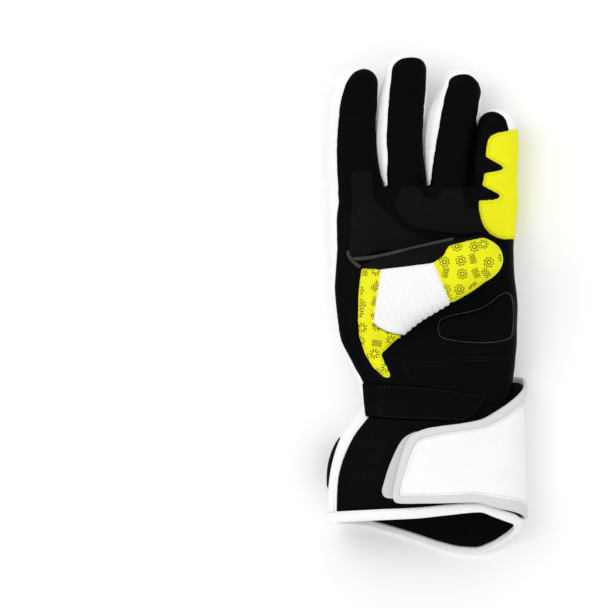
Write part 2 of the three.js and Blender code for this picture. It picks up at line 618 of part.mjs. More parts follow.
// A patch sewn on top of the hand, following its surface.
function patch(name, look, outline, thick, from = 18) {
  const skin = handWithoutThumb(GAP + thick).subtract(handWithoutThumb(GAP));
  const made = skin.intersect(prism(outline, from, TOP)).subtract(thumb(2 * GAP));
  keep(name, look, largest(made));
}

// The cuff's section across a Y: its middle and half sizes.
function cuffSection(y) {
  const [thumbSide, littleSide, bottom, top, stand] = [
    "thumb",
    "little",
    "bottom",
    "top",
    "stand",
  ].map((column) => along(CUFF, column, "y", y));
  return {
    x: (thumbSide + littleSide) / 2,
    z: (bottom + top) / 2,
    wide: (littleSide - thumbSide) / 2,
    high: (top - bottom) / 2,
    stand,
  };
}

// A point over the cuff: degrees round from the little finger's side over the palm side, and
// how far off its surface. Nothing goes below what the cuff rests on.
function onCuff(angle, y, off) {
  const { x, z, wide, high } = cuffSection(y);
  const [across, up] = [Math.cos(radians(angle)), Math.sin(radians(angle))];
  return new THREE.Vector3(
    x + (wide + off) * power(across, 2 / TRUNK_SQUARENESS),
    y,
    Math.max(z + (high + off) * power(up, 2 / TRUNK_SQUARENESS), -Math.min(off, 0)),
  );
}

// The degrees round the cuff's palm side at which a layer off its surface is at x.
function angleAt({ angle, x, y }, off) {
  if (angle !== undefined) return angle;
  const section = cuffSection(y);
  const across = (x - section.x) / (section.wide + off);
  const held = THREE.MathUtils.clamp(across, -1, 1);
  return THREE.MathUtils.radToDeg(Math.acos(power(held, TRUNK_SQUARENESS / 2)));
}

// Where the cuff ends at an angle, less a distance.
function cuffEnd(angle, less = 0) {
  const palmSide = Math.sin(radians(angle)) > 0;
  const { x } = onCuff(angle, FRONT_END[0].y, 0);
  return along(palmSide ? FRONT_END : BACK_END, "y", "x", x) + less;
}

// A piece of the cuff between two angles and two ends, each a function, and two layers.
function cuffPiece(fromAngle, toAngle, start, end, inner, outer, across, down) {
  return sheet(across, down, (u, v, w) => {
    const place = (y) => {
      const [from, to] = [fromAngle(y), toAngle(y)];
      return from + u * (to - from);
    };
    let y = start(place(CUFF_TOP));
    for (let i = 0; i < 3; i++) y = start(place(y)) + v * (end(place(y)) - start(place(y)));
    return onCuff(place(y), y, w ? outer : inner);
  });
}

// The gauntlet's two leathers and the bindings of its opening, all moved out by grow.
function cuffLeathers(grow) {
  const thumbSeam = (y) => along(CUFF_THUMB_SEAM, "angle", "y", y);
  const front = [() => CUFF_LITTLE_SEAM, thumbSeam];
  const back = [(y) => thumbSeam(y) + SEAM_ANGLE, () => 360 + CUFF_LITTLE_SEAM - SEAM_ANGLE];
  const top = () => CUFF_TOP;
  const hem = (depth) => (angle) => cuffEnd(angle, depth);
  const edge = hem(-grow);
  const [frontEnd, backEnd] = [hem(HEM.front + GAP - grow), hem(HEM.back + GAP - grow)];
  const proud = (BINDING - WALL) / 2;
  const layers = [-WALL - proud, proud + grow];
  return {
    cuff_front: cuffPiece(...front, top, frontEnd, -WALL, grow, 16, 6),
    cuff_back: cuffPiece(...back, top, backEnd, -WALL, grow, 22, 6),
    front_hem_binding: cuffPiece(...front, hem(HEM.front + grow), edge, ...layers, 16, 1),
    back_hem_binding: cuffPiece(...back, hem(HEM.back + grow), edge, ...layers, 22, 1),
  };
}

// What fills the slots between the gauntlet's pieces when others are cut clear of them.
function cuffCore() {
  const around = [() => 0, () => 360];
  return cuffPiece(...around, () => CUFF_TOP + 1, (angle) => cuffEnd(angle), -WALL, 0, 32, 7);
}

// The dark cloth that shows inside the opening.
function cuffLining() {
  const { thick, from, off, fromAngle, toAngle } = LINING;
  const [start, end] = [() => from, (angle) => cuffEnd(angle, HEM.back + 2 * GAP)];
  const sides = [() => fromAngle, () => toAngle];
  return cuffPiece(...sides, start, end, -WALL - off - thick, -WALL - off, 16, 2);
}

// How far the flap's underside is off the cuff: over the tape at its end, and standing off the
// wrist at the little finger's side.
function flapLift(angle, y) {
  const turn = THREE.MathUtils.smoothstep(angle, 20, 100);
  const side = Math.cos(radians(THREE.MathUtils.clamp(angle, -90, 90))) ** 2;
  const slack = Math.max(0, Math.sin(radians((angle - 10) * 2))) * FLAP_SLACK;
  const low = THREE.MathUtils.smoothstep(-y, 110, 134);
  return (
    THREE.MathUtils.lerp(FLAP_LIFT.root, FLAP_LIFT.end, turn) +
    cuffSection(y).stand * side +
    (angle < 90 ? slack * low : 0)
  );
}

// The closing flap, and the binding round its three free sides, clear of what lies under them.
function flapPieces(underlying) {
  const onFlap = ({ angle, y }, w, thick) => onCuff(angle, y, flapLift(angle, y) + w * thick);
  const edge = (side) =>
    FLAP_EDGE.map((row) => ({ angle: angleAt(row[side], FLAP_LIFT.end), y: row[side].y }));
  const [outer, inner] = [edge("outer"), edge("inner")];
  const mix = (a, b, share) => ({
    angle: a.angle + share * (b.angle - a.angle),
    y: a.y + share * (b.y - a.y),
  });
  const last = FLAP_EDGE.length - 1;
  const field = sheet(FLAP_TURN, 5, (u, v, w) => {
    const i = Math.round(u * FLAP_TURN);
    return onFlap(mix(inner[i], inner[last - i], v), w, FLAP);
  });
  const strip = sheet(last, 1, (u, v, w) => {
    const i = Math.round(u * last);
    return onFlap(mix(inner[i], outer[i], FLAP_SEAM + v * (1 - FLAP_SEAM)), w, FLAP_BINDING);
  });
  keep("cuff_flap", "whiteLeather", largest(field.subtract(underlying)));
  keep("flap_binding", "greyBinding", largest(strip.subtract(underlying)));
}

// A strip laid on the cuff through rows of two places each.
function laidOn(rows, inner, outer, down) {
  return sheet(rows.length - 1, down, (u, v, w) => {
    const ends = rows[Math.round(u * (rows.length - 1))];
    const off = w ? outer : inner;
    const [from, to] = ends.map((place) => ({ angle: angleAt(place, off), y: place.y }));
    return onCuff(from.angle + v * (to.angle - from.angle), from.y + v * (to.y - from.y), off);
  });
}

function strapAndTape(underlying) {
  const rows = STRAP.map(({ upper, lower }) => [upper, lower]);
  const wrist = join([trunk(GAP), sleeve(CUFF_TOP, TRUNK[0].y + 1, GAP), underlying]);
  const strap = laidOn(rows, -WALL / 2, GAP + STRAP_THICK, 2);
  keep("wrist_strap", "blackLeather", largest(strap.subtract(wrist)));
  const tape = TAPE_ROWS.map(({ y, from, to }) => [from, to].map((x) => ({ x, y })));
  keep("flap_closure_tape", "greyTape", laidOn(tape, GAP, GAP + TAPE, 3));
}

// A padded sliver, thick along its middle.
function sidePad() {
  const { fromY, toY, fromAngle, toAngle, thick, edge } = SIDE_PAD;
  const pad = sheet(6, 6, (u, v, w) => {
    const round = Math.sin(Math.PI * u) * Math.sin(Math.PI * v);
    const lens = Math.sin(Math.PI * v);
    const middle = (fromAngle + toAngle) / 2;
    const angle = middle + (u - 0.5) * (toAngle - fromAngle) * (0.25 + 0.75 * lens);
    const off = w ? GAP + edge + (thick - edge) * round : GAP;
    return onCuff(angle, fromY + v * (toY - fromY), off);
  });
  keep("cuff_side_pad", "blackLeather", pad);
}

// A round cord through points.
function cord(points, radius) {
  const path = new THREE.CatmullRomCurve3(points.map((point) => new THREE.Vector3(...point)));
  const steps = (points.length - 1) * 2;
  const sides = 5;
  const frames = path.computeFrenetFrames(steps, false);
  const ring = (i, k) => {
    const angle = (2 * Math.PI * k) / sides;
    return path
      .getPointAt(i / steps)
      .addScaledVector(frames.normals[i], radius * Math.cos(angle))
      .addScaledVector(frames.binormals[i], radius * Math.sin(angle));
  };
  const made = [path.getPointAt(0), path.getPointAt(1)];
  for (let i = 0; i <= steps; i++) for (let k = 0; k < sides; k++) made.push(ring(i, k));
  const at = (i, k) => 2 + i * sides + (k % sides);
  const triangles = [];
  for (let k = 0; k < sides; k++) {
    triangles.push([0, at(0, k + 1), at(0, k)], [1, at(steps, k), at(steps, k + 1)]);
    for (let i = 0; i < steps; i++) {
      triangles.push([at(i, k), at(i, k + 1), at(i + 1, k + 1)]);
      triangles.push([at(i, k), at(i + 1, k + 1), at(i + 1, k)]);
    }
  }
  return solidOf(made, triangles);
}

function piping() {
  const cords = [PIPING.main, PIPING.hook].map((points) => cord(points, PIPING.radius));
  keep("thumb_piping", "darkPiping", join(cords));
}

// The guard's outline: its inner edge with the spikes let in, closed beyond the finger.
function guardOutline() {
  const inner = GUARD_EDGE.flatMap((place, i) => {
    const next = GUARD_EDGE[i + 1];
    const spikes = next ? GUARD_SPIKES.filter(({ y }) => y < place.y && y >= next.y) : [];
    const cuts = spikes.flatMap(({ x, y, above, below }) => {
      const root = (height) => ({ x: along(GUARD_EDGE.slice(1, -1), "x", "y", height), y: height });
      const onWay = (from, part, sag) => ({
        x: from.x + part * (x - from.x),
        y: from.y + part * sag * (y - from.y),
      });
      const upper = SPIKE_STEPS.map((part) => onWay(root(above), part, SPIKE_SAG.above));
      const lower = SPIKE_STEPS.map((part) => onWay(root(below), part, SPIKE_SAG.below));
      return [root(above), ...upper, { x, y }, ...lower.reverse(), root(below)];
    });
    return [place, ...cuts];
  });
  const [first, last] = [inner[0], inner[inner.length - 1]];
  return [{ x: GUARD_REACH, y: first.y }, ...inner, { x: GUARD_REACH, y: last.y }];
}

names.forEach(fingerPanels);
handPanels();
thumbPanels();
patch("grip_panel_fingers", "gripLeather", GRIP_FINGERS, OVERLAY);
patch("grip_panel_index", "gripLeather", GRIP_INDEX, OVERLAY);
patch("heel_pad", "blackLeather", HEEL_PAD, PAD);
patch("little_finger_guard", "yellowLeather", guardOutline(), OVERLAY, 6);
const leathers = cuffLeathers(0);
keep("cuff_front", "blackLeather", leathers.cuff_front);
keep("cuff_back", "whiteLeather", leathers.cuff_back);
keep("front_hem_binding", "whiteLeather", leathers.front_hem_binding);
keep("back_hem_binding", "whiteLeather", leathers.back_hem_binding);
keep("cuff_lining", "darkCloth", cuffLining());
const underFlap = join([...Object.values(cuffLeathers(GAP)), cuffCore()]);
flapPieces(underFlap);
strapAndTape(underFlap);
sidePad();
piping();

const glove = new THREE.Group();
for (const [name, { made, look }] of parts) {
  const mesh = made.getMesh();
  const points = new Float32Array(mesh.numVert * 3);
  for (let i = 0; i < mesh.numVert; i++)
    points.set(mesh.vertProperties.subarray(i * mesh.numProp, i * mesh.numProp + 3), i * 3);
  const geometry = new THREE.BufferGeometry();
  geometry.setAttribute("position", new THREE.BufferAttribute(points, 3));
  geometry.setIndex(new THREE.BufferAttribute(mesh.triVerts, 1));
  geometry.computeVertexNormals();
  const piece = new THREE.Mesh(
    geometry,
    new THREE.MeshStandardMaterial({ ...LOOKS[look], metalness: 0 }),
  );
  piece.name = name;
  glove.add(piece);
}

const box = new THREE.Box3().setFromObject(glove);
const middle = box.getCenter(new THREE.Vector3());
glove.position.set(-middle.x, -middle.y, -box.min.z);

export default glove;
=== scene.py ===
"""A left-hand racing gauntlet glove for motorcycling, dressed over its CAD frame.

Tables and shapes are in millimetres in the glove's own drawing, where Y runs from the cuff to
the fingertips; SHIFT brings them to the frame's origin, and meshes are written in metres.
"""

import math

import bpy
import numpy as np
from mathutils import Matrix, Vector
from mathutils.bvhtree import BVHTree
from mathutils.kdtree import KDTree


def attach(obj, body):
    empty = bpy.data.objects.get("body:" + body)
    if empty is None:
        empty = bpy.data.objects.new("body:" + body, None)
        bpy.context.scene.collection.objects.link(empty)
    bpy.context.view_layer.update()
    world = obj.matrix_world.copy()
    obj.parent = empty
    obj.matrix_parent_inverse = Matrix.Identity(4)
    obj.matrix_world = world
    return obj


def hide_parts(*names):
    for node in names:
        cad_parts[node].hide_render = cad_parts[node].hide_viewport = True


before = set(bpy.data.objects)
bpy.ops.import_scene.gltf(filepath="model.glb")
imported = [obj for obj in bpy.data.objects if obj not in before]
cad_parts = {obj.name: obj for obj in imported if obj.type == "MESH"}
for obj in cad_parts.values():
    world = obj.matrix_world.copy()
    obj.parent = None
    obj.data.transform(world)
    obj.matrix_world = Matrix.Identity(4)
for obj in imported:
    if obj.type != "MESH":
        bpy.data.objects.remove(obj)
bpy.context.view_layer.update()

SHIFT = np.array([-0.568, 0.369, 0.0])
GRID = 1.35  # the hand's mesh
SNAP = 0.15  # a corner nearer to a cut than this share of its edge is moved onto it
WALL = 1.5  # leather
CUFF_WALL = 2.2  # leather and lining
CUFF_LONG, CUFF_ROUND = 75, 140  # about the size of each half of the cuff
OVERLAY = 1.5
PAD = 3.4
WRIST_SEAM = -66.3
PANEL_FLOOR = 22  # the thumb's base panel lies above this height
ABOVE = 90  # rays fall on the glove from here
FAR = 99.0  # further than any distance that shapes something
PLAN_WIDTH = 401.28  # what the picture shows, across and down, at the height PLAN_LEVEL
PLAN_LEVEL = 25
LENS = 1200  # so long that the view from straight above is as flat as a drawing
PLAN_CENTRE = (-80.7, -0.1)
TURN = 6.283  # a full turn in radians


def table(names, *rows):
    """Rows of numbers, each as a dict by these names."""
    return [dict(zip(names.split(), row)) for row in rows]


def stall(tip, lean, spread, seam, rows):
    """A finger; spread moves it aside while the hand is meshed, so that neighbours stay apart."""
    seam, rows = table("y level slope rise", *seam), table("y x z wide high", *rows)
    return dict(tip=tip, lean=lean, spread=spread, seam=seam, rows=rows)


TRUNK = table(
    "y x z wide high index little",
    (-66, 8, 20.3, 50, 16.8, 28, 12), (-54, 6.3, 20, 50.8, 16.8, 28.4, 12),
    (-41, 4.3, 18.3, 54.5, 17.3, 25.6, 11), (-21, 0.8, 16, 59, 17.3, 20.9, 10),
    (2, -0.6, 15.5, 60.5, 17, 20, 10), (35, -2.8, 15, 60.3, 16.3, 23.5, 10),
    (58, -2.6, 14, 61, 14.6, 22, 10), (70, -2.4, 13.6, 61.6, 12.5, 23.6, 10),
    (76, -2.3, 13.4, 61, 9.5, 24.4, 10),
)
TRUNK_SQUARENESS = 2.6
TRUNK_TIP = 2.5
FINGERS = {
    "index": stall(
        12.6, 1.6, -5.4,
        [
            (80, 0.37, -0.7, 0), (88, 0.375, -0.7, 0.4), (104, 0.395, -0.7, 0.3), (112, 0.41, -0.7, 0.4),
            (125, 0.44, -0.7, 0.5), (133, 0.45, -0.7, 0.2), (143, 0.46, -0.82, 0.15),
            (149, 0.49, -1, 0.3), (155, 0.52, -1.1, 0.3),
        ],
        [
            (48, -44, 13.4, 14, 9), (77, -46.2, 14.2, 18.6, 12.4), (87, -48, 14.8, 17.4, 12.2),
            (105, -49.2, 16.6, 16.4, 12), (127, -48.4, 20.2, 16, 11.6), (143.4, -46.5, 23.6, 14.3, 10.9),
        ],
    ),
    "middle": stall(
        13.2, 1.4, -1.8,
        [
            (82, 0.47, -0.7, 0), (89, 0.47, -0.7, 0.42), (100, 0.45, -0.7, 0.4), (117, 0.45, -0.7, 0.42),
            (126, 0.44, -0.69, 0.6), (134, 0.43, -0.68, 0.62), (140, 0.43, -0.6, 0.42),
            (145, 0.44, -0.52, 0.25), (149, 0.46, -0.42, 0), (153, 0.5, -0.3, -0.3),
            (165, 0.65, -0.1, -0.4),
        ],
        [
            (48, -13, 13.4, 11, 9), (77, -13.8, 14.4, 14, 12.6), (87, -15.6, 15.2, 14.8, 12.5),
            (110, -17.5, 17.8, 15.6, 12.2), (134, -15.6, 22.6, 15.6, 11.6), (152, -13.5, 27, 13.6, 10.8),
        ],
    ),
    "ring": stall(
        11, 0.8, 1.8,
        [
            (97, 0.42, -0.65, 0), (105, 0.53, -0.65, 0), (117, 0.58, -0.65, 0.1),
            (121, 0.57, -0.65, 0.45), (130, 0.53, -0.65, 0.5), (134, 0.46, -0.65, 0.55),
            (138, 0.42, -0.62, 0.35), (141, 0.43, -0.56, 0.2), (144.5, 0.49, -0.42, 0.25),
            (149, 0.63, -0.2, 0.35), (155, 0.82, -0.1, 0.2),
        ],
        [
            (48, 14.4, 13.4, 11, 9), (77, 14.5, 14.4, 13.5, 12.4), (88, 14.3, 15.4, 14.4, 12.3),
            (102, 14.4, 17, 15.6, 12.1), (124, 18, 20.8, 16.9, 11.6), (136, 21, 23.4, 15.1, 11.2),
            (144, 22.9, 25.2, 13, 10.8),
        ],
    ),
    "little": stall(
        11.4, 0.7, 5.4,
        [
            (104, 0.35, 0.6, 0), (113, 0.42, 0.6, 0), (119, 0.53, 0.62, 0), (125, 0.6, 0.7, 0),
            (129, 0.65, 0.7, 0),
        ],
        [
            (40, 43, 13.2, 12, 8.8), (68, 43.6, 13.8, 15.3, 11.6), (91, 44.7, 15.6, 14.9, 11.3),
            (106, 46.2, 17.8, 13.9, 10.8), (117.2, 46.7, 19.8, 12.8, 10.5),
        ],
    ),
}
MIDDLE, RING, LITTLE = 1, 2, 3  # fingers by number
FINGER_SQUARENESS = 2.2
SPREAD_ROWS = (70, 94)  # the Ys between which each finger's spread grows
SEAM_ROWS = (72, 84)  # where the seam of the trunk gives way to the fingers'
# The ring and little fingers press together: the Ys over which that starts and ends, how far each
# finger gives, and the Xs over which it gives more and more.
PRESSED = dict(low=(73, 84), high=(126, 108), little=1.3, little_from=(42, 34), ring=0.5, ring_from=(18, 28))
FINGER_BLEND = 3.0  # how softly the fingers meet the trunk
THUMB_BLEND = dict(reach=(8.0, 0.6), along=(-32, -6))  # less softly towards the thumb's tip
REST_BLEND = 1.6  # how softly the sides meet the flattened back
CROTCH = dict(start=100, end=77, drop=0.4)  # here the seam sinks into the gaps between the fingers

THUMB_HEADING = math.radians(12)
THUMB_ROWS = table(
    "x y z wide high finger_side wrist_side",
    (-46, -12, 15, 27, 12, 0, -0.35), (-37.1, -4.3, 21.5, 31.5, 17, 0, -0.35),
    (-24.6, 4.4, 33, 28.6, 17.6, 0, -0.35), (-6.7, 12.8, 42.6, 23.4, 15, 0, -0.35),
    (9.1, 19, 46.2, 20.2, 12.8, 0, -0.35), (25.6, 25.2, 46.8, 17.6, 12, 0, -0.3),
    (36.1, 29.5, 46.6, 14.8, 11.4, -0.05, -0.2),
)
THUMB = dict(tip=14.0, lean=0.5, curve=1.6, taper=0.6, rows=THUMB_ROWS)

GRIP_FINGERS = [
    (37.4, 47.2), (34.6, 61.8), (27.1, 63.9), (25.6, 70.8), (23.1, 75.7), (17.7, 77.2), (10.8, 77.2),
    (6.9, 69.8), (-0.9, 69.8), (-3.9, 76.7), (-6.9, 78.6), (-15.7, 78.1), (-21.6, 67.8), (-21.6, 63.4),
    (-16.8, 56.6), (-8.4, 49), (25.6, 44.5),
]
GRIP_INDEX = [
    (-36.3, 88.4), (-48.1, 88.4), (-50, 85.5), (-49.1, 65.9), (-51, 31.5), (-49, 24), (-20, 20), (10, 30),
    (14, 39.6), (5.9, 40.6), (-8.8, 46), (-19.2, 55.2), (-31.4, 65.9), (-34.3, 69.8), (-35.3, 79.6),
]
HEEL_PAD = [
    (52.2, 8.2), (47.6, 6.1), (43.4, 2.3), (39.2, -0.8), (33.7, -3.2), (26.2, -5.1), (18.8, -6.5),
    (11.7, -8.5), (8.5, -10.4), (7.2, -13.4), (7.4, -19.8), (9.4, -22.6), (13, -24), (25.6, -25.8),
    (35.5, -26.4), (45.5, -25.9), (55.4, -23.7), (57.5, -20.2), (58.2, -11.7), (58.2, -2.6), (57.1, 4.3),
    (55.7, 7),
]
THUMB_BASE = [
    (-30.4, 22.8), (-43, 23.4), (-44.2, 15), (-45.1, 4.5), (-45.4, -10.2), (-44.2, -21.9), (-40.4, -33.6),
    (-35.3, -41.7), (-30.6, -46.4), (-27.4, -48.6), (-25, -48.8), (-23.9, -47.6), (-24.5, -45),
    (-27.9, -38), (-29.6, -34), (-29.2, -32.4), (-22.8, -26.8), (-15.8, -20.9), (-17.4, -20.5),
    (-24.3, -19.2), (-31.6, -16), (-35.5, -12.4), (-34.5, -5.8), (-32.3, 10.4), (-30.9, 19.2),
]
GUARD = [
    (75, 116.4), (64, 116.2), (60.5, 115.5), (53.9, 114.2), (46.8, 112.8), (43, 111), (40.9, 108.4),
    (40.2, 105.5), (39.1, 97.3), (43, 94.9), (47.8, 92.3), (50.3, 90.6), (51, 89.5), (50.1, 88.5),
    (45.9, 87.5), (38.3, 86.2), (37.9, 82.4), (37, 78.2), (41.2, 75.9), (45.9, 73.4), (48.2, 72),
    (48.9, 70.9), (47.8, 69.6), (43, 68.6), (34.6, 68.1), (34.8, 61.7), (36, 55.6), (38.3, 50.4),
    (42.1, 46.1), (46.3, 43.8), (51.5, 42.6), (57.7, 42.8), (75, 43.2),
]
GUARD_FLOOR = 6  # the guard ends at this height over its side wall
BASE_SEWN_TO = 20  # the thumb keeps the base panel's edge above this Y out of sight
THUMB_SIDE_SEAM = [
    (-60, 24.4), (-43, 23.4), (-30.4, 22.8), (-12, 24.9), (3.8, 27), (8.3, 29.5), (11.6, 32.8),
    (13.2, 36.1), (14.8, 38.2), (17.4, 39.3), (21.1, 40.2), (27.1, 41.9), (33.1, 43.2), (37.3, 44),
    (42, 45.2), (60, 50),
]
# The stretch panel's ends: the crescent's inner edge, run on to the thumb's outline.
STRETCH_END = [
    (-30.4, 60), (-30.4, 22.8), (-35.5, -12.4), (-31.6, -16), (-24.3, -19.2), (-15.8, -20.9), (6, -25),
]
TIP_SEAM = [(0, 37.3), (4.5, 27.1), (15.8, 0.8), (23.8, -17.8)]
RIBS = dict(count=9, height=0.45, run=38.0)  # the stretch panel's, over their run from its tip

# The gauntlet is drawn by angles in degrees round it, from the little finger's side over the palm.
CUFF = table(
    "y thumb little bottom top stand",
    (-41, -50.2, 58.8, 1, 35.6, 4.9), (-54, -44.5, 57.1, 3.2, 36.8, 5.8), (-66, -42, 58, 3.5, 37.1, 3.2),
    (-77, -49.4, 60.6, 0.6, 39.6, 0.4), (-88, -56.6, 61.4, -1.2, 41.6, 0),
    (-105, -62.2, 61.6, -1.4, 44.6, 0), (-117, -64, 62, -1.4, 46.4, 0), (-128, -65, 62.6, -1.4, 47.6, 0),
    (-144, -65.2, 63.2, -1.4, 48.6, 0), (-167, -63, 62, -1.4, 49, 0),
)
CUFF_LITTLE_SEAM = -10
SEAM_GAP = 0.4  # degrees
CUFF_THUMB_SEAM = table(
    "y angle",
    (-66, 137), (-74.5, 141.5), (-86, 145), (-105, 151), (-118, 152.8), (-167, 152.8),
)
FRONT_END = table(
    "x y",
    (-66, -144.6), (-30, -142.6), (-6, -141.4), (14, -139.3), (36, -137.4), (46.5, -140.8),
    (57.5, -144.6), (66, -146.6),
)
BACK_END = table(
    "x y",
    (-66, -144.6), (-42, -147.2), (-26, -151.2), (-6, -157.2), (9, -162), (24, -165.3), (34, -165.8),
    (44, -162.8), (54, -156.8), (66, -146.6),
)
HEM = dict(back=4.9, thick=3.4, corner=3.0, seam_y=-146.0)
FRONT_HEM = table(
    "x deep",
    (-66, 7.4), (10, 7.2), (33, 6.7), (43, 6.4), (52, 6.8), (66, 7),
)
FRONT_HEM_DIP = dict(deep=1.9, angle=13, wide=9)
HEM_TAB = dict(x=(-65.4, -59.4), y=(-137.6, -145.4), x_taken_at=-141.0)
LINING = dict(thick=0.8, off=2.9, start=-110, angles=(180, 348))

# outer is the binding's free edge and inner the edge of the white field. Both start and end with
# places by their angle and Y; those between are seen from above, by X and Y.
FLAP_EDGE = dict(
    outer=(
        [(-50, -48), (-14, -49), (2, -53.8), (16, -58.2)],
        [
            (52.2, -65.5), (44, -71.6), (36, -76), (22, -78.9), (8.8, -80.6), (-3.6, -83.4), (-9, -86.4),
            (-12.6, -90.8), (-18.4, -109.6), (-21.2, -122.4), (-21.2, -128.8), (-17.4, -131.5),
            (3.8, -131.5), (20, -131.2), (33, -131.2), (45, -134.6), (58, -137.5),
        ],
        [(4, -141), (-24, -143.8), (-50, -146.6)],
    ),
    inner=(
        [(-50, -53.6), (-16, -55.2), (-1, -61), (14, -66.4)],
        [
            (55, -70.6), (45.5, -77.4), (35, -81.6), (21, -83.7), (8.4, -86), (-3.6, -89.2), (-6, -91),
            (-8, -95), (-13, -109.6), (-16.6, -120.6), (-17, -125.2), (-14.6, -126.8), (3.8, -126.4),
            (20, -125.8), (32, -125.4), (45, -127.8),
        ],
        [(16, -131.4), (0, -135), (-24, -138.2), (-50, -141)],
    ),
)
FLAP_TURN = 11  # the edges' place where the flap's upper side turns into its end
FLAP_SAMPLES = 6
FLAP = dict(thick=2.4, binding=2.9, root=1.0, end=2.2, slack=1.4)
# The tape's Ys, each with the X of its right and of its left edge.
TAPE = [
    (-84.3, 2, -6.8), (-86, 1.6, -11), (-88.6, 0.8, -14.6), (-92, -1, -17.2), (-96, -2.6, -19.4),
    (-100, -4, -21.2), (-109, -7, -24.8), (-118, -10, -27.5), (-122, -11.5, -28.6), (-124.4, -12, -28.6),
    (-126.1, -12.4, -28), (-127.3, -12.7, -26.8), (-128, -12.9, -25), (-128.3, -13, -22.8),
]
STRAP = dict(
    upper=[
        (-41.5, -52), (-36, -52.3), (-26.4, -52.9), (-12, -53.7), (0, -54.5), (10, -55.9), (20.5, -57.5),
        (31, -59.1), (37.6, -59.9), (39.2, -60.9), (39.2, -63.8),
    ],
    lower=[
        (-39.6, -74.4), (-34, -75.2), (-29, -75.4), (-15, -76.2), (-2, -76.6), (8, -77), (17, -77.2),
        (22.6, -77.3), (26.4, -75.6), (31.6, -71.9), (35.6, -69),
    ],
)
STRAP_SEWN = (0.055, 0.945)
STRAP_TOP = 2.25
# Black leather that fills the gap under the flap where it stands off the cuff.
GUSSET = dict(angles=(-44, 9), start=-52.0, end=-84.0, turn=2.4)
SIDE_PAD = dict(start=-88, end=-123, low=6.9, high=24.6, thick=2.6)
PIPING = dict(
    main=[
        (18, 42.7, 49.4), (5.8, 40, 47.4), (-7.4, 36.9, 44.3), (-17.3, 34.6, 41.5),
        (-28, 32.1, 38.1), (-37.1, 30.5, 35.4), (-42.6, 29.9, 33.4), (-48.6, 29.6, 31),
    ],
    hook=[(-51.6, 35, 28), (-51, 32, 29), (-49.4, 29.4, 30), (-46.6, 26.6, 31), (-43.2, 24.2, 32)],
)
PIPING_RADIUS = 1.3
CREASES = [(104.0, 124.0), (109.0, 131.0), (102.0, 123.0), (90.0, 106.0)]  # where each finger bends
# Sewn lines over the palm, as grooves.
PALM_LINES = [
    [(56.5, -38.2), (23.3, -39), (6.5, -41.8), (-16.6, -41.1)],
    [(56.5, -36), (23.6, -36.8), (7, -39.6), (-16.6, -38.9)], [(-14.6, -43.5), (-8.9, -53.3)],
]
# Low relief by the distance from something: its height, its width and where it is highest.
RELIEF = {
    "seam": (-0.6, 0.8), "beside_seam": (0.3, 2.4, 3.4), "wrist": (-0.5, 1.2), "palm_line": (-0.5, 0.7),
    "crease": (-0.32, 0.9), "beside_crease": (0.16, 1.8, 3.0), "cuff_edge": (-0.5, 1.0),
    "inside_cuff_edge": (0.3, 2.2, 3.2), "flap_edge": (-0.2, 1.2), "strap_seam": (-0.35, 0.8, 2.1),
}
# A stitch's rings: how far along its half length, how thick, and how high.
STITCH = [(-1.0, 0.35, -0.25), (-0.62, 0.85, 0.1), (0, 1.0, 0.25), (0.62, 0.85, 0.1), (1.0, 0.35, -0.25)]


# Numbers and tables


def smoothstep(value, low, high):
    t = np.clip((np.asarray(value, float) - low) / (high - low), 0, 1)
    return t * t * (3 - 2 * t)


def power(value, exponent):
    return np.sign(value) * np.abs(value) ** exponent


def hump(value, width, at=0.0):
    """1 where a value is at a place, and almost 0 from twice a width away."""
    return np.exp(-(((value - at) / width) ** 2))


def relief(kind, away):
    height, *where = RELIEF[kind]
    return height * hump(away, *where)


def between(low, high, share):
    return low + share * (high - low)


def unit(vectors):
    return vectors / np.maximum(np.linalg.norm(vectors, axis=-1, keepdims=True), 1e-12)


def grid(across, down):
    return np.meshgrid(np.linspace(0, 1, across), np.linspace(0, 1, down), indexing="ij")


def column(rows, key, place, by="y"):
    """A table's column at places along another, by a curve that never overshoots its rows."""
    x = np.array([row[by] for row in rows], float)
    y = np.array([row[key] for row in rows], float)
    if x[0] > x[-1]:
        x, y = x[::-1], y[::-1]
    step = np.diff(x)
    slope = np.diff(y) / step
    lean = np.zeros_like(y)
    lean[0], lean[-1] = slope[0], slope[-1]
    before, after = slope[:-1], slope[1:]
    turns = before * after <= 0
    heavy, light = 2 * step[1:] + step[:-1], step[1:] + 2 * step[:-1]
    safe = np.where(turns, 1.0, heavy / np.where(turns, 1, before) + light / np.where(turns, 1, after))
    lean[1:-1] = np.where(turns, 0.0, (heavy + light) / safe)
    place = np.clip(np.asarray(place, float), x[0], x[-1])
    i = np.clip(np.searchsorted(x, place) - 1, 0, len(step) - 1)
    t = (place - x[i]) / step[i]
    return (
        (1 + 2 * t) * (1 - t) ** 2 * y[i]
        + t * (1 - t) ** 2 * step[i] * lean[i]
        + t * t * (3 - 2 * t) * y[i + 1]
        + t * t * (t - 1) * step[i] * lean[i + 1]
    )


def columns(rows, keys, place, by="y"):
    return [column(rows, key, place, by) for key in keys.split()]


def spline(points, per_span):
    """A smooth curve through points, with per_span samples between neighbours."""
    points = np.asarray(points, float)
    held = np.concatenate([points[:1], points, points[-1:]])
    made = []
    for a, b, c, d in zip(held, held[1:], held[2:], held[3:]):
        for t in np.arange(per_span) / per_span:
            made.append(
                b + (c - a) * t / 2 + (2 * a - 5 * b + 4 * c - d) * t**2 / 2
                + (3 * b - a - 3 * c + d) * t**3 / 2
            )
    return np.array(made + [points[-1]])


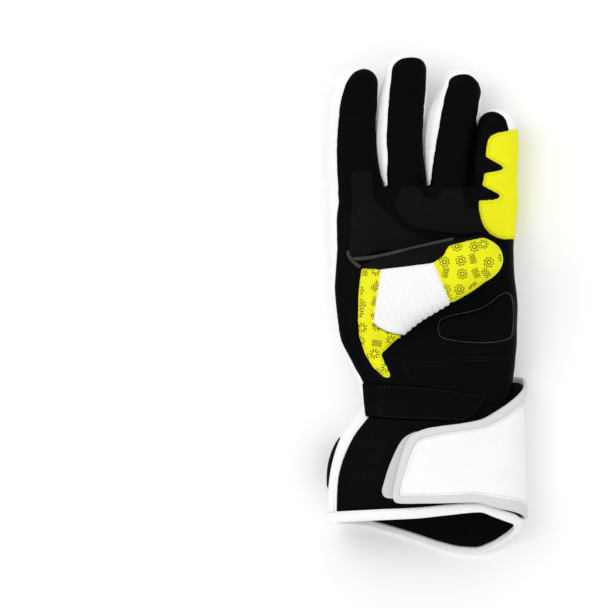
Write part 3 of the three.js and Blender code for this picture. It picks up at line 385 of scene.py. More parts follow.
def softened(outline, radius):
    """A closed outline with each corner rounded."""
    outline = np.asarray(outline, float)
    made = []
    for i, corner in enumerate(outline):
        before, after = outline[i - 1] - corner, outline[(i + 1) % len(outline)] - corner
        start = corner + before * min(0.45, radius / np.linalg.norm(before))
        end = corner + after * min(0.45, radius / np.linalg.norm(after))
        for t in np.linspace(0, 1, 6):
            made.append((1 - t) ** 2 * start + 2 * t * (1 - t) * corner + t * t * end)
    return np.array(made)


def to_segments(points, line):
    """Each point's distance from a line seen from above, and the side of it, + on its left."""
    places, line = points[:, :2], np.asarray(line, float)
    best, side = np.full(len(places), 1e9), np.ones(len(places))
    for a, b in zip(line, line[1:]):
        along, rel = b - a, places - a
        t = np.clip((rel @ along) / max(along @ along, 1e-9), 0, 1)
        gap = np.linalg.norm(rel - t[:, None] * along, axis=1)
        turn = along[0] * rel[:, 1] - along[1] * rel[:, 0]
        closer = gap < best - 1e-9
        side[closer] = np.where(turn[closer] >= 0, 1.0, -1.0)
        best = np.minimum(best, gap)
    return best, side


def signed(points, line):
    gap, side = to_segments(points, line)
    return gap * side


def outside(points, outline):
    """Distance from a closed outline seen from above, negative inside it."""
    ring = np.concatenate([outline, outline[:1]])
    x, y = points[:, 0], points[:, 1]
    inside = np.zeros(len(points), bool)
    for (x1, y1), (x2, y2) in zip(ring, ring[1:]):
        crosses = (y1 > y) != (y2 > y)
        with np.errstate(divide="ignore", invalid="ignore"):
            at = (x2 - x1) * (y - y1) / (y2 - y1) + x1
        inside ^= crosses & (x < at)
    gap, _ = to_segments(points, ring)
    return np.where(inside, -gap, gap)


def beside(line, aside, closed=False):
    """A line seen from above, moved to its left."""
    way = np.roll(line, -1, axis=0) - np.roll(line, 1, axis=0) if closed else np.gradient(line, axis=0)
    way = unit(way)
    return line + aside * np.stack([-way[:, 1], way[:, 0]], 1)


def inset(outline, depth):
    """A closed outline moved in by a depth."""
    x, y = outline.T
    turning = np.sign((x * np.roll(y, -1) - np.roll(x, -1) * y).sum())
    moved = beside(outline, depth * turning, closed=True)
    return np.concatenate([moved, moved[:1]])


def ruled(one, other, share):
    """A grid of places from each point of a line to the other line's, as its two coordinates."""
    share = np.asarray(share)[None, :, None]
    return np.moveaxis(one[:, None] * (1 - share) + other[:, None] * share, -1, 0)


def waves(points, size, seed):
    """Gentle seeded unevenness, about -1 to 1, of a given size in millimetres."""
    random = np.random.default_rng(seed)
    total = np.zeros(len(points))
    for _ in range(10):
        way = random.normal(size=3)
        way /= np.linalg.norm(way) * size * random.uniform(0.7, 1.5)
        total += np.sin(2 * np.pi * (points @ way) + random.uniform(0, 2 * np.pi))
    return total / 4.5


# The hand as a field


def blend_min(a, b, reach):
    share = np.clip(0.5 + 0.5 * (b - a) / reach, 0, 1)
    return b + share * (a - b) - reach * share * (1 - share)


def tube(offset, up, beyond, past, wide, high, squareness):
    """Distance outward from a tube's surface; past is how far beyond its last section, as a share."""
    ratio = (np.abs(offset) / wide) ** squareness + (np.abs(up) / high) ** squareness
    ratio = (ratio + past**squareness) ** (1 / squareness)
    reach = np.sqrt(offset**2 + up**2 + beyond**2)
    return reach * (1 - 1 / np.maximum(ratio, 1e-3))


def trunk_field(p):
    x, y, z = p.T
    centre_x, centre_z, wide, high = columns(TRUNK, "x z wide high", y)
    beyond = np.maximum(y - TRUNK[-1]["y"], 0)
    return tube(x - centre_x, z - centre_z, beyond, beyond / TRUNK_TIP, wide, high, TRUNK_SQUARENESS)


def section(part, along, side="x", by="y", curve=1.0):
    """A finger's or the thumb's middle line and size at places along it, leaning over at its tip."""
    rows = part["rows"]
    last, before = rows[-1], rows[-2]
    share = np.clip((along - last[by]) / part["tip"], 0, 1)
    x, z, wide, high = columns(rows, f"{side} z wide high", along, by)
    return x + share**curve * part["lean"], z + share * (last["z"] - before["z"]) * 0.6, wide, high


def finger_field(finger, p):
    x, y, z = p.T
    rows = finger["rows"]
    centre_x, centre_z, wide, high = section(finger, y)
    beyond = np.maximum(y - rows[-1]["y"], 0)
    past = beyond / finger["tip"]
    away = tube(x - centre_x, z - centre_z, beyond, past, wide, high, FINGER_SQUARENESS)
    return np.maximum(away, rows[0]["y"] - y)


FORWARD = np.array([math.cos(THUMB_HEADING), math.sin(THUMB_HEADING)])
ACROSS = np.array([math.sin(THUMB_HEADING), -math.cos(THUMB_HEADING)])
for row in THUMB_ROWS:
    row["along"], row["side"] = (row["x"] * way[0] + row["y"] * way[1] for way in (FORWARD, ACROSS))


def thumb_places(p):
    """Where points are on the thumb: along it, from its middle line, and its size there."""
    along = p[:, :2] @ FORWARD
    side, z, wide, high = section(THUMB, along, "side", "along", THUMB["curve"])
    return along, p[:, :2] @ ACROSS - side, p[:, 2] - z, wide, high


def thumb_field(p):
    along, offset, up, wide, high = thumb_places(p)
    beyond = np.maximum(along - THUMB_ROWS[-1]["along"], 0)
    past = (beyond / THUMB["tip"]) ** THUMB["taper"]
    away = tube(offset, up, beyond, past, wide, high, FINGER_SQUARENESS)
    return np.maximum(away, THUMB_ROWS[0]["along"] - along)


def hand_field(p, spread):
    fingers = []
    for finger in FINGERS.values():
        moved = p.copy()
        if spread:
            moved[:, 0] -= finger["spread"] * smoothstep(p[:, 1], *SPREAD_ROWS)
        fingers.append(finger_field(finger, moved))
    return blend_min(trunk_field(p), np.min(fingers, axis=0), FINGER_BLEND)


def glove_field(p, spread=True):
    reach = between(*THUMB_BLEND["reach"], smoothstep(p[:, :2] @ FORWARD, *THUMB_BLEND["along"]))
    whole = blend_min(hand_field(p, spread), thumb_field(p), reach)
    return -blend_min(-whole, p[:, 2], REST_BLEND)  # flattened where it rests


# Meshes


def surface_nets(field, origin, step):
    """A quad mesh of a sampled field's zero surface."""
    inside = field < 0
    cells = tuple(n - 1 for n in field.shape)
    part = lambda values, start: values[tuple(slice(s, s + n) for s, n in zip(start, cells))]
    corners = list(np.ndindex(2, 2, 2))
    filled = sum(part(inside, corner).astype(np.int8) for corner in corners)
    active = (filled > 0) & (filled < 8)
    number = np.full(cells, -1)
    number[active] = np.arange(active.sum())
    values = {corner: part(field, corner)[active] for corner in corners}
    total, count = np.zeros((active.sum(), 3)), np.zeros(active.sum())
    for a in corners:
        for axis in np.flatnonzero(np.array(a) == 0):
            b = tuple(np.array(a) + np.eye(3, dtype=int)[axis])
            cross = (values[a] < 0) != (values[b] < 0)
            total[cross] += a
            total[cross, axis] += values[a][cross] / (values[a][cross] - values[b][cross])
            count[cross] += 1
    points = origin + (np.argwhere(active) + total / count[:, None]) * step
    quads = []
    for axis in range(3):
        low = [slice(1, n - 1) for n in field.shape]
        low[axis] = slice(0, field.shape[axis] - 1)
        high = list(low)
        high[axis] = slice(1, field.shape[axis])
        start, end = inside[tuple(low)], inside[tuple(high)]
        at = np.argwhere(start != end)
        ring = []
        for shift in ((0, 0), (1, 0), (1, 1), (0, 1)):
            cell = at.copy()
            cell[:, [(axis + 1) % 3, (axis + 2) % 3]] += shift
            ring.append(number[tuple(cell.T)])
        ring = np.stack(ring, 1)
        quads.append(np.where(start[start != end][:, None], ring, ring[:, ::-1]))
    return points, np.concatenate(quads)


def onto(field, points, times, step=0.2, furthest=0.8):
    """Points moved along a field's slope to its zero surface."""
    for _ in range(times):
        sides = [(field(points + shift) - field(points - shift)) / (2 * step) for shift in step * np.eye(3)]
        slope = np.stack(sides, 1)
        size = np.maximum((slope**2).sum(1), 0.25)
        move = (field(points) / size)[:, None] * slope
        far = np.linalg.norm(move, axis=1, keepdims=True)
        points = points - move * np.minimum(1, furthest / np.maximum(far, 1e-9))
    return points


def evened(field, points, faces, times, share=0.6):
    """Points slid along the surface to the middle of their neighbours."""
    edges = np.concatenate([faces, np.roll(faces, -1, axis=1)], 0).reshape(2, -1).T
    for _ in range(times):
        total, count = np.zeros_like(points), np.zeros(len(points))
        for a, b in ((0, 1), (1, 0)):
            np.add.at(total, edges[:, a], points[edges[:, b]])
            np.add.at(count, edges[:, a], 1)
        points = points + share * (total / count[:, None] - points)
        points = onto(field, points, 1)
    return points


def normals_of(points, faces):
    corner = points[faces]
    cross = np.cross(corner[:, 1] - corner[:, 0], corner[:, 2] - corner[:, 0])
    total = np.zeros_like(points)
    for k in range(3):
        np.add.at(total, faces[:, k], cross)
    return total / np.maximum(np.linalg.norm(total, axis=1, keepdims=True), 1e-12)


def edges_of(faces):
    return np.concatenate([faces[:, [k, (k + 1) % 3]] for k in range(3)])


def quartered(faces, middles):
    """Each triangle in four, by the middles of its edges."""
    return [np.stack([faces[:, k], middles[:, k], middles[:, k - 1]], 1) for k in range(3)] + [middles]


def edge_keys(edges, size):
    """A number for each edge, the same in both directions."""
    return np.sort(edges, axis=1) @ [size, 1]


def cut(points, faces, value, mask):
    """The mesh with its triangles split where value is 0 on those in mask, and no gap beside them."""
    points, value, size = points.copy(), value.copy(), len(points)
    pairs = edges_of(faces[mask])
    crossing = lambda: pairs[value[pairs].prod(axis=1) < 0]
    for _ in range(2):
        a, b = crossing().T
        share = value[a] / (value[a] - value[b])
        for near, far, close in ((a, b, share < SNAP), (b, a, share > 1 - SNAP)):
            part = np.where(share < 0.5, share, 1 - share)[close][:, None]
            points[near[close]] += part * (points[far[close]] - points[near[close]])
            value[near[close]] = 0
    keys = np.unique(edge_keys(crossing(), size))
    if not len(keys):
        return points, faces
    first, second = keys // size, keys % size
    share = (value[first] / (value[first] - value[second]))[:, None]
    points = np.concatenate([points, points[first] + share * (points[second] - points[first])])
    wanted = edge_keys(edges_of(faces), size)
    at = np.searchsorted(keys, wanted).clip(0, len(keys) - 1)
    middle = np.where(keys[at] == wanted, size + at, -1).reshape(3, -1).T
    marked = (middle >= 0).sum(1)

    def turned(which, shift):
        """Corners and then middles of some triangles, turned so that one edge comes first."""
        order = (np.arange(3)[None, :] + shift[:, None]) % 3
        return np.take_along_axis(np.hstack([faces, middle])[which], np.hstack([order, order + 3]), 1)

    one, two = marked == 1, marked == 2
    once = turned(one, np.argmax(middle[one] >= 0, axis=1))
    twice = turned(two, (np.argmax(middle[two] < 0, axis=1) + 1) % 3)
    made = [faces[marked == 0], once[:, [0, 3, 2]], once[:, [3, 1, 2]]]
    made += [twice[:, [1, 4, 3]], twice[:, [0, 3, 4]], twice[:, [0, 4, 2]]]
    made += quartered(faces[marked == 3], middle[marked == 3])
    return points, np.concatenate(made)


def subdivided(points, faces, values):
    """Each triangle in four, with values carried over."""
    size = len(points)
    keys, at = np.unique(edge_keys(edges_of(faces), size), return_inverse=True)
    a, b = keys // size, keys % size
    points, *values = (np.concatenate([v, (v[a] + v[b]) / 2]) for v in (points, *values))
    return points, np.concatenate(quartered(faces, at.reshape(3, -1).T + size)), values


def rim(faces):
    """The edges that bound some triangles."""
    size = faces.max() + 1
    edges = edges_of(faces)
    key, back = edges[:, 0] * size + edges[:, 1], edges[:, 1] * size + edges[:, 0]
    return edges[~np.isin(key, back)]


def shell(points, normals, faces, top, bottom):
    """A closed wall over triangles of a surface, between two offsets from it."""
    used, local = np.unique(faces, return_inverse=True)
    local = local.reshape(-1, 3)
    size = len(used)
    layers = [
        points[used] + normals[used] * np.broadcast_to(off, len(points))[used, None] for off in (top, bottom)
    ]
    a, b = rim(local).T
    walls = np.concatenate([np.stack([b, a, a + size], 1), np.stack([b, a + size, b + size], 1)])
    return np.concatenate(layers), np.concatenate([local, local[:, ::-1] + size, walls])


def distance_to(edges, points, places):
    """How far places are from edges, by samples along them."""
    a, b = points[edges[:, 0]], points[edges[:, 1]]
    samples = np.concatenate([a * (1 - t) + b * t for t in (0, 0.33, 0.67)])
    tree = KDTree(len(samples))
    for i, sample in enumerate(samples):
        tree.insert(sample, i)
    tree.balance()
    return np.array([tree.find(place)[2] for place in places])


def to_rim(points, faces):
    """How far the points of some triangles are from the rim of those."""
    used = np.unique(faces)
    away = np.full(len(points), FAR)
    away[used] = distance_to(rim(faces), points, points[used])
    return away


def turned_out(points, faces):
    """Faces in the order that faces them out."""
    fan = faces if faces.shape[1] == 3 else halved(faces)
    a, b, c = (points[fan[:, k]] for k in range(3))
    return faces if (a * np.cross(b, c)).sum() > 0 else faces[:, ::-1]


def halved(quads):
    return np.concatenate([quads[:, [0, 1, 2]], quads[:, [0, 2, 3]]])


def sheet(outer, inner):
    """Two facing grids of points, closed round their edges."""
    across, down = outer.shape[:2]
    size = across * down
    number = np.arange(size).reshape(across, down)
    quads = np.stack([number[:-1, :-1], number[1:, :-1], number[1:, 1:], number[:-1, 1:]], -1).reshape(-1, 4)
    ring = np.concatenate([number[:, 0], number[-1, 1:], number[-2::-1, -1], number[0, -2:0:-1]])
    after = np.roll(ring, -1)
    walls = np.stack([after, ring, ring + size, after + size], 1)
    points = np.concatenate([outer.reshape(-1, 3), inner.reshape(-1, 3)])
    return points, turned_out(points, np.concatenate([quads, quads[:, [0, 3, 2, 1]] + size, walls]))


def tube_of(rings, closed=False):
    """A closed solid through rings of points."""
    count, sides = rings.shape[:2]
    points = rings.reshape(-1, 3)
    number = np.arange(count * sides).reshape(count, sides)
    after = np.roll(number, -1, axis=1)
    if closed:
        number, after = (np.concatenate([n, n[:1]]) for n in (number, after))
    faces = halved(np.stack([number[:-1], after[:-1], after[1:], number[1:]], -1).reshape(-1, 4))
    if not closed:
        start, end = np.full(sides, len(points)), np.full(sides, len(points) + 1)
        points = np.concatenate([points, rings[:1].mean(1), rings[-1:].mean(1)])
        ends = [np.stack([start, after[0], number[0]], 1), np.stack([end, number[-1], after[-1]], 1)]
        faces = np.concatenate([faces, *ends])
    return points, turned_out(points, faces)


def cord(line, radius, sides=10, closed=False):
    """Rings round a line, narrower at its ends if it has them."""
    way = unit(np.roll(line, -1, axis=0) - np.roll(line, 1, axis=0) if closed else np.gradient(line, axis=0))
    side = unit(np.cross(way, [0, 0, 1]))
    up = np.cross(side, way)
    angle = 2 * np.pi * np.arange(sides)[None, :, None] / sides
    size = np.full((len(line), 1, 1), radius)
    if not closed:
        size[[0, -1]] *= 0.5
    return line[:, None] + size * np.cos(angle) * side[:, None] + size * np.sin(angle) * up[:, None]


stitches = {colour: [] for colour in ("black", "grey", "white", "yellow")}


def sew(colour, line, normals, pitch=3.0, long=2.4, wide=0.5):
    """Stitches of one thread along a line in space."""
    line, normals = np.asarray(line), np.asarray(normals)
    gone = np.concatenate([[0], np.cumsum(np.linalg.norm(np.diff(line, axis=0), axis=1))])
    at_place = lambda at, values: np.array([np.interp(at, gone, values[:, k]) for k in range(3)])
    count = int(gone[-1] / pitch)
    for at in (np.arange(count) + 0.5) * gone[-1] / max(count, 1):
        here, before, after = (at_place(at + d, line) for d in (0, -long / 2, long / 2))
        stitches[colour].append((here, after - before, at_place(at, normals), long, wide))


def sewn(places):
    """One mesh of all stitches of a thread."""
    angle = 2 * np.pi * np.arange(6)[:, None] / 6
    points, faces = [], []
    for here, way, up, long, wide in places:
        way = unit(way)
        side = unit(np.cross(way, up))
        up = np.cross(side, way)
        rings = np.array([
            here + way * along * long / 2 + up * (lift * wide)
            + (np.cos(angle) * side + np.sin(angle) * up) * size * wide / 2
            for along, size, lift in STITCH
        ])
        made, shown = tube_of(rings)
        faces.append(shown + sum(map(len, points)))
        points.append(made)
    return np.concatenate(points), np.concatenate(faces)


def under(tree, x, y):
    """The highest place of a surface at an X and Y, and its normal there."""
    return tree.ray_cast(Vector((x, y, ABOVE)), Vector((0, 0, -1)))[:2]


def from_above(tree, line, lift):
    """A line seen from above, laid on a surface, with the surface's normals there."""
    places, normals = [], []
    for x, y in line:
        hit, normal = under(tree, x, y)
        if hit is not None:
            normal = np.array(normal if normal.z > 0 else -normal)
            places.append(np.array(hit) + lift * normal)
            normals.append(normal)
    return places, normals


def sew_on(tree, colour, line, lift=0.05, **facts):
    """Stitches along a line seen from above, laid on a surface."""
    sew(colour, *from_above(tree, line, lift), **facts)


def placed(name, data):
    made = bpy.data.objects.new(name, data)
    bpy.context.scene.collection.objects.link(made)
    return made


def piece(name, points, faces, look, nodes=None, sharp=50, lined=0):
    """An object of points in millimetres and faces, riding with the glove.

    It replaces the node of its own name unless others are named. Where lined is a number of
    faces, as many again after them are lined with dark cloth.
    """
    slot, material = looks[look]
    points = np.concatenate([points[:, :2], np.maximum(points[:, 2:], 0)], 1)
    mesh = bpy.data.meshes.new(name)
    mesh.from_pydata(((points + SHIFT) / 1000).astype(np.float32), [], faces, shade_flat=False)
    mesh.validate()
    mesh.set_sharp_from_angle(angle=math.radians(sharp))
    mesh.materials.append(material)
    if lined:
        mesh.materials.append(looks["lining"][1])
        number = np.zeros(len(faces), np.int32)
        number[lined : 2 * lined] = 1
        mesh.polygons.foreach_set("material_index", number)
    made = placed(name, mesh)
    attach(made, "root")
    nodes = [name] if nodes is None else nodes
    if nodes:
        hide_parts(*nodes)
    return made


# Looks


class Graph:
    """Short calls for a material's nodes."""

    def __init__(self, name):
        self.material = bpy.data.materials.new(name)
        self.material.use_nodes = True
        self.tree = self.material.node_tree
        self.shader = self.tree.nodes["Principled BSDF"]
        self.place = self.node("ShaderNodeTexCoord").outputs["Object"]

    def node(self, kind, inputs=None, **facts):
        made = self.tree.nodes.new(kind)
        for key, value in facts.items():
            setattr(made, key, value)
        for key, value in (inputs or {}).items():
            if isinstance(value, bpy.types.NodeSocket):
                self.tree.links.new(value, made.inputs[key])
            else:
                made.inputs[key].default_value = value
        return made

    def math(self, operation, *values):
        return self.node("ShaderNodeMath", dict(enumerate(values)), operation=operation).outputs[0]

    def times(self, first, *others):
        for other in others:
            first = self.math("MULTIPLY", first, other)
        return first

    def vector(self, operation, *values):
        return self.node("ShaderNodeVectorMath", dict(enumerate(values)), operation=operation).outputs[0]

    def turned(self, vector, angle):
        """X, Y and Z of a vector turned about Z."""
        inputs = {"Vector": vector, "Axis": (0, 0, 1), "Angle": angle}
        turned = self.node("ShaderNodeVectorRotate", inputs, rotation_type="AXIS_ANGLE")
        return self.node("ShaderNodeSeparateXYZ", {0: turned.outputs[0]}).outputs

    def length(self, x, y):
        return self.math("SQRT", self.math("ADD", self.times(x, x), self.times(y, y)))

    def noise(self, size, detail=2.0):
        """Noise from 0 to 1 with features of a size in millimetres."""
        inputs = {"Vector": self.place, "Scale": 1000 / size, "Detail": detail}
        return self.node("ShaderNodeTexNoise", inputs).outputs["Fac"]

    def cells(self, size, feature="SMOOTH_F1"):
        inputs = {"Vector": self.place, "Scale": 1000 / size}
        return self.node("ShaderNodeTexVoronoi", inputs, feature=feature).outputs["Distance"]

    def between(self, value, low, high, to_low=0.0, to_high=1.0):
        inputs = {"Value": value, "From Min": low, "From Max": high, "To Min": to_low, "To Max": to_high}
        return self.node("ShaderNodeMapRange", inputs).outputs["Result"]

    def mix(self, share, a, b):
        return self.node("ShaderNodeMix", {0: share, 6: a, 7: b}, data_type="RGBA").outputs[2]

    def toned(self, share, colour, dark, light):
        """A colour from darker to lighter."""
        return self.mix(share, scaled(colour, dark), scaled(colour, light))

    def finish(self, colour, roughness, heights, specular, sheen=0.0):
        """heights are pairs of a height from 0 to 1 and its depth in millimetres."""
        inputs = {}
        for height, depth in heights:
            inputs |= {"Height": height, "Distance": depth / 1000, "Strength": 1.0}
            inputs["Normal"] = self.node("ShaderNodeBump", inputs).outputs["Normal"]
        for key, value in (("Base Color", colour), ("Roughness", roughness), ("Normal", inputs["Normal"])):
            self.tree.links.new(value, self.shader.inputs[key])
        self.shader.inputs["Specular IOR Level"].default_value = specular
        self.shader.inputs["Sheen Weight"].default_value = sheen
        return self.material


def scaled(colour, share=1.0):
    return (*(min(1.0, c * share) for c in colour), 1.0)


def leather(
    name, colour, specular, roughness=0.5, worn=1.25, dark=0.8, grain=1.1, crease_shade=0.35, print_of=None
):
    """Grained leather, darker and lighter in places, with painted shade in its fine creases."""
    g = Graph(name)
    broad, fine = g.noise(26, 3), g.noise(2.2, 3)
    pebble, crease = g.cells(grain), g.cells(grain * 3.2, "DISTANCE_TO_EDGE")
    tone = g.toned(g.between(broad, 0.35, 0.65), colour, dark, worn)
    # painted shade: the leather is darkened along its fine creases
    tone = g.mix(g.between(crease, 0.0, 0.05, crease_shade, 0.0), tone, scaled(colour, dark * 0.8))
    if print_of:
        tone = print_of(g, tone, colour)
    rough = g.between(fine, 0.3, 0.7, roughness - 0.07, roughness + 0.09)
    return g.finish(tone, rough, [(pebble, 0.05), (crease, 0.035), (broad, 0.5)], specular)


def perforated(name, colour, pitch=1.65, radius=0.5):
    """Leather with a square grid of small round holes, painted near black inside as painted shade."""
    g = Graph(name)
    turned = g.turned(g.place, math.radians(-3))
    cells = (g.times(turned[k], 1000 / pitch) for k in (0, 1))
    away = g.length(*(g.math("SUBTRACT", g.math("FRACT", cell), 0.5) for cell in cells))
    size = radius / pitch
    hole = g.between(away, size * 0.75, size * 1.15)
    tone = g.toned(g.between(g.noise(24, 3), 0.35, 0.65), colour, 0.85, 1.2)
    # Each hole is ringed lighter round its edge and painted near black inside, a painted shade in the hole.
    tone = g.mix(g.between(away, size * 1.2, size * 1.6, 1.0, 0.0), tone, scaled(colour, 2.0))
    tone = g.mix(hole, scaled((0.0003,) * 3), tone)
    rough = g.between(g.noise(2.2), 0.3, 0.7, 0.56, 0.7)
    return g.finish(tone, rough, [(hole, 0.3), (g.cells(1.0), 0.04)], 0.04)


def cloth(name, colour, thread=0.55, specular=0.15, roughness=0.85, sheen=0.2, depth=0.12):
    """A woven or knitted face: two crossed sets of threads, with painted shade between them."""
    g = Graph(name)
    inputs = {"Vector": g.place, "Scale": 1000 / thread / TURN}
    weave = g.times(
        *(g.node("ShaderNodeTexWave", inputs, bands_direction=way).outputs["Fac"] for way in ("X", "Y"))
    )
    # painted shade: darker in the gaps between the threads and lighter on their tops
    tone = g.toned(g.between(weave, 0.0, 0.6), colour, 0.93, 1.03)
    tone = g.mix(g.between(g.noise(14, 3), 0.4, 0.7, 0.0, 0.5), tone, scaled(colour, 0.96))
    rough = g.between(g.noise(1.5), 0.3, 0.7, roughness - 0.05, roughness + 0.08)
    return g.finish(tone, rough, [(weave, depth), (g.noise(0.8), 0.03)], specular, sheen)


def scatter_print(g, tone, colour, size=9.2, line=0.4):
    """A generic scatter of outlined cogs, stacked arrows and rings of rays, each turned its own way."""
    flat = g.vector("MULTIPLY", g.place, (1000 / size, 1000 / size, 0))
    inputs = {"Vector": flat, "Scale": 1.0, "Randomness": 0.5}
    cell = g.node("ShaderNodeTexVoronoi", inputs, voronoi_dimensions="2D", feature="F1")
    random = g.node("ShaderNodeSeparateColor", {0: cell.outputs["Color"]}).outputs
    local = g.turned(g.vector("SUBTRACT", flat, cell.outputs["Position"]), g.times(random[0], TURN))
    x, y = (g.times(local[k], size) for k in (0, 1))
    reach, angle = g.length(x, y), g.math("ARCTAN2", y, x)
    drawn = lambda gap: g.between(gap, line * 0.6, line * 1.3, 1.0, 0.0)
    away = lambda value, at: g.math("ABSOLUTE", g.math("SUBTRACT", value, at))
    within = lambda value, limit: g.math("LESS_THAN", value, limit)
    beyond = lambda value, limit: g.math("GREATER_THAN", value, limit)
    folded = lambda value, at: g.math("PINGPONG", g.math("ADD", value, 20.0), at)
    teeth = g.between(g.math("COSINE", g.times(angle, 8.0)), -0.25, 0.25, 2.5, 3.25)
    cogs = g.math("MAXIMUM", drawn(away(reach, teeth)), drawn(away(reach, 1.25)))
    wide, tall = g.math("ABSOLUTE", x), g.math("ABSOLUTE", y)
    slanted = g.math("ADD", g.times(wide, 0.9), y)
    arrows = drawn(g.math("SUBTRACT", folded(slanted, 0.85), 0.1))
    arrows = g.times(arrows, within(wide, 2.2), within(tall, 3.3))
    rays = drawn(g.times(reach, folded(angle, math.pi / 9)))
    rays = g.times(rays, g.between(reach, 1.2, 1.4), g.between(reach, 3.4, 3.6, 1.0, 0.0))
    cogs = g.times(cogs, within(random[1], 0.38))
    arrows = g.times(arrows, beyond(random[1], 0.38), within(random[1], 0.62))
    rays = g.times(rays, beyond(random[1], 0.62))
    ink = g.math("MAXIMUM", g.math("MAXIMUM", cogs, rays), arrows)
    facing = g.node("ShaderNodeSeparateXYZ", {0: g.node("ShaderNodeTexCoord").outputs["Normal"]}).outputs[2]
    ink = g.times(ink, g.between(g.noise(3.0, 3), 0.3, 0.55, 0.7, 1.0), g.between(facing, 0.45, 0.6))
    return g.mix(ink, tone, scaled((colour[0] * 0.1, colour[1] * 0.11, colour[2] * 0.6)))


BLACK, WHITE, YELLOW = (0.0011, 0.0011, 0.0012), (0.88, 0.88, 0.875), (0.82, 0.81, 0.006)
PRINTED = (0.79, 0.785, 0.007)
# PALE and BRIGHT also give the white and yellow leathers less painted shade in their creases.
PALE = dict(worn=1.01, dark=0.97, crease_shade=0.15)
BRIGHT = dict(worn=1.02, dark=0.97, crease_shade=0.2)
SOFT = dict(thread=0.45, depth=0.02, sheen=0.05)
FINE = dict(thread=0.35, depth=0.04)
DULL = dict(sheen=0.0, **FINE)
# Each look's slot and material.
looks = {
    "black": ("black_leather", leather("black_leather", BLACK, 0.035)),
    "white": ("white_leather", leather("white_leather", WHITE, 0.3, 0.48, **PALE)),
    "yellow": ("yellow_leather", leather("yellow_leather", YELLOW, 0.12, **BRIGHT)),
    "printed": (
        "yellow_leather",
        leather("printed_yellow_leather", PRINTED, 0.12, **BRIGHT, print_of=scatter_print),
    ),
    "grip": ("grip_leather", perforated("perforated_leather", (0.0042, 0.0042, 0.0044))),
    "stretch": ("white_stretch", cloth("stretch_fabric", (0.88,) * 3, **SOFT)),
    "binding": ("grey_binding", cloth("grey_binding", (0.68,) * 3, roughness=0.6, **SOFT)),
    "tape": ("grey_tape", cloth("hook_tape", (0.6,) * 3, thread=0.7, depth=0.08)),
    "lining": (
        "dark_cloth",
        cloth("dark_lining", (0.0035, 0.0035, 0.0038), thread=0.6, specular=0.03, sheen=0.0),
    ),
    "piping": ("dark_piping", leather("dark_piping", (0.03,) * 3, 0.2)),
    "hem": ("white_leather", leather("white_hem_binding", WHITE, 0.3, grain=0.8, **PALE)),
    "black_thread": (
        "black_leather", cloth("black_thread", (0.004, 0.004, 0.0042), specular=0.06, **DULL),
    ),
    "grey_thread": (
        "black_leather", cloth("grey_thread", (0.014, 0.014, 0.0145), specular=0.08, **DULL),
    ),
    "white_thread": ("white_leather", cloth("white_thread", (0.8, 0.8, 0.79), roughness=0.6, **FINE)),
    "yellow_thread": ("yellow_leather", cloth("yellow_thread", (0.66, 0.65, 0.01), roughness=0.6, **FINE)),
}


# The hand


def triangulated(points, quads):
    """Each quad in two along its shorter diagonal."""
    gap = lambda a, b: np.linalg.norm(points[quads[:, a]] - points[quads[:, b]], axis=1)
    short = (gap(0, 2) < gap(1, 3))[:, None]
    return np.concatenate([
        np.where(short, quads[:, one], quads[:, other])
        for one, other in (([0, 1, 2], [0, 1, 3]), ([0, 2, 3], [1, 2, 3]))
    ])


def owners(points, spread):
    """The finger that each point is on, by number."""
    gaps = []
    for finger in FINGERS.values():
        x, _, wide, _ = section(finger, points[:, 1])
        if spread:
            x = x + finger["spread"] * smoothstep(points[:, 1], *SPREAD_ROWS)
        past = np.maximum(points[:, 1] - finger["rows"][-1]["y"], 0)
        gaps.append(np.abs(points[:, 0] - x) / wide + 0.002 * past**2)
    return np.argmin(gaps, axis=0)


def closed_up(points):
    """The spread fingers brought back together, the little one pressed to the ring finger."""
    spreads = np.array([finger["spread"] for finger in FINGERS.values()])
    owner = owners(points, True)
    moved = points.copy()
    moved[:, 0] -= spreads[owner] * smoothstep(points[:, 1], *SPREAD_ROWS)
    pressed = smoothstep(moved[:, 1], *PRESSED["low"]) * smoothstep(moved[:, 1], *PRESSED["high"])
    for name, number, way in (("little", LITTLE, -1), ("ring", RING, 1)):
        given = PRESSED[name] * pressed * smoothstep(moved[:, 0], *PRESSED[f"{name}_from"])
        moved[:, 0] += np.where(owner == number, way * given, 0)
    return moved


def seam_height(points):
    """How far points are over the seam between the black front and the white back."""
    x, y, z = points.T
    middle, wide, index, little = columns(TRUNK, "x wide index little", y)
    over_trunk = z - (index + (little - index) * (x - middle + wide) / (2 * wide))
    over_finger = np.zeros(len(points))
    owner = owners(points, False)
    for number, finger in enumerate(FINGERS.values()):
        centre_x, centre_z, wide, high = section(finger, y)
        aside = (x - centre_x) / wide
        level, slope, rise = columns(finger["seam"], "level slope rise", y)
        level += slope * aside + rise * np.maximum(aside, 0) ** 2
        if number in (MIDDLE, RING):
            level -= CROTCH["drop"] * smoothstep(y, CROTCH["start"], CROTCH["end"])
        over_finger = np.where(owner == number, z - (centre_z + level * high), over_finger)
    share = smoothstep(y, *SEAM_ROWS)
    return over_trunk * (1 - share) + over_finger * share


def thumb_seam_height(points):
    """How far points are over the seam round the thumb, under its back panels."""
    along, offset, up, wide, high = thumb_places(points)
    finger_side, wrist_side = columns(THUMB_ROWS, "finger_side wrist_side", along, "along")
    return up - between(wrist_side, finger_side, (1.2 - offset / wide) / 2.4) * high


base_outline = softened(THUMB_BASE, 0.7)
outlines = {
    "grip_panel_fingers": softened(GRIP_FINGERS, 3),
    "grip_panel_index": softened(GRIP_INDEX, 3),
    "heel_pad": softened(HEEL_PAD, 3),
    "little_finger_guard": softened(GUARD, 0.8),
}

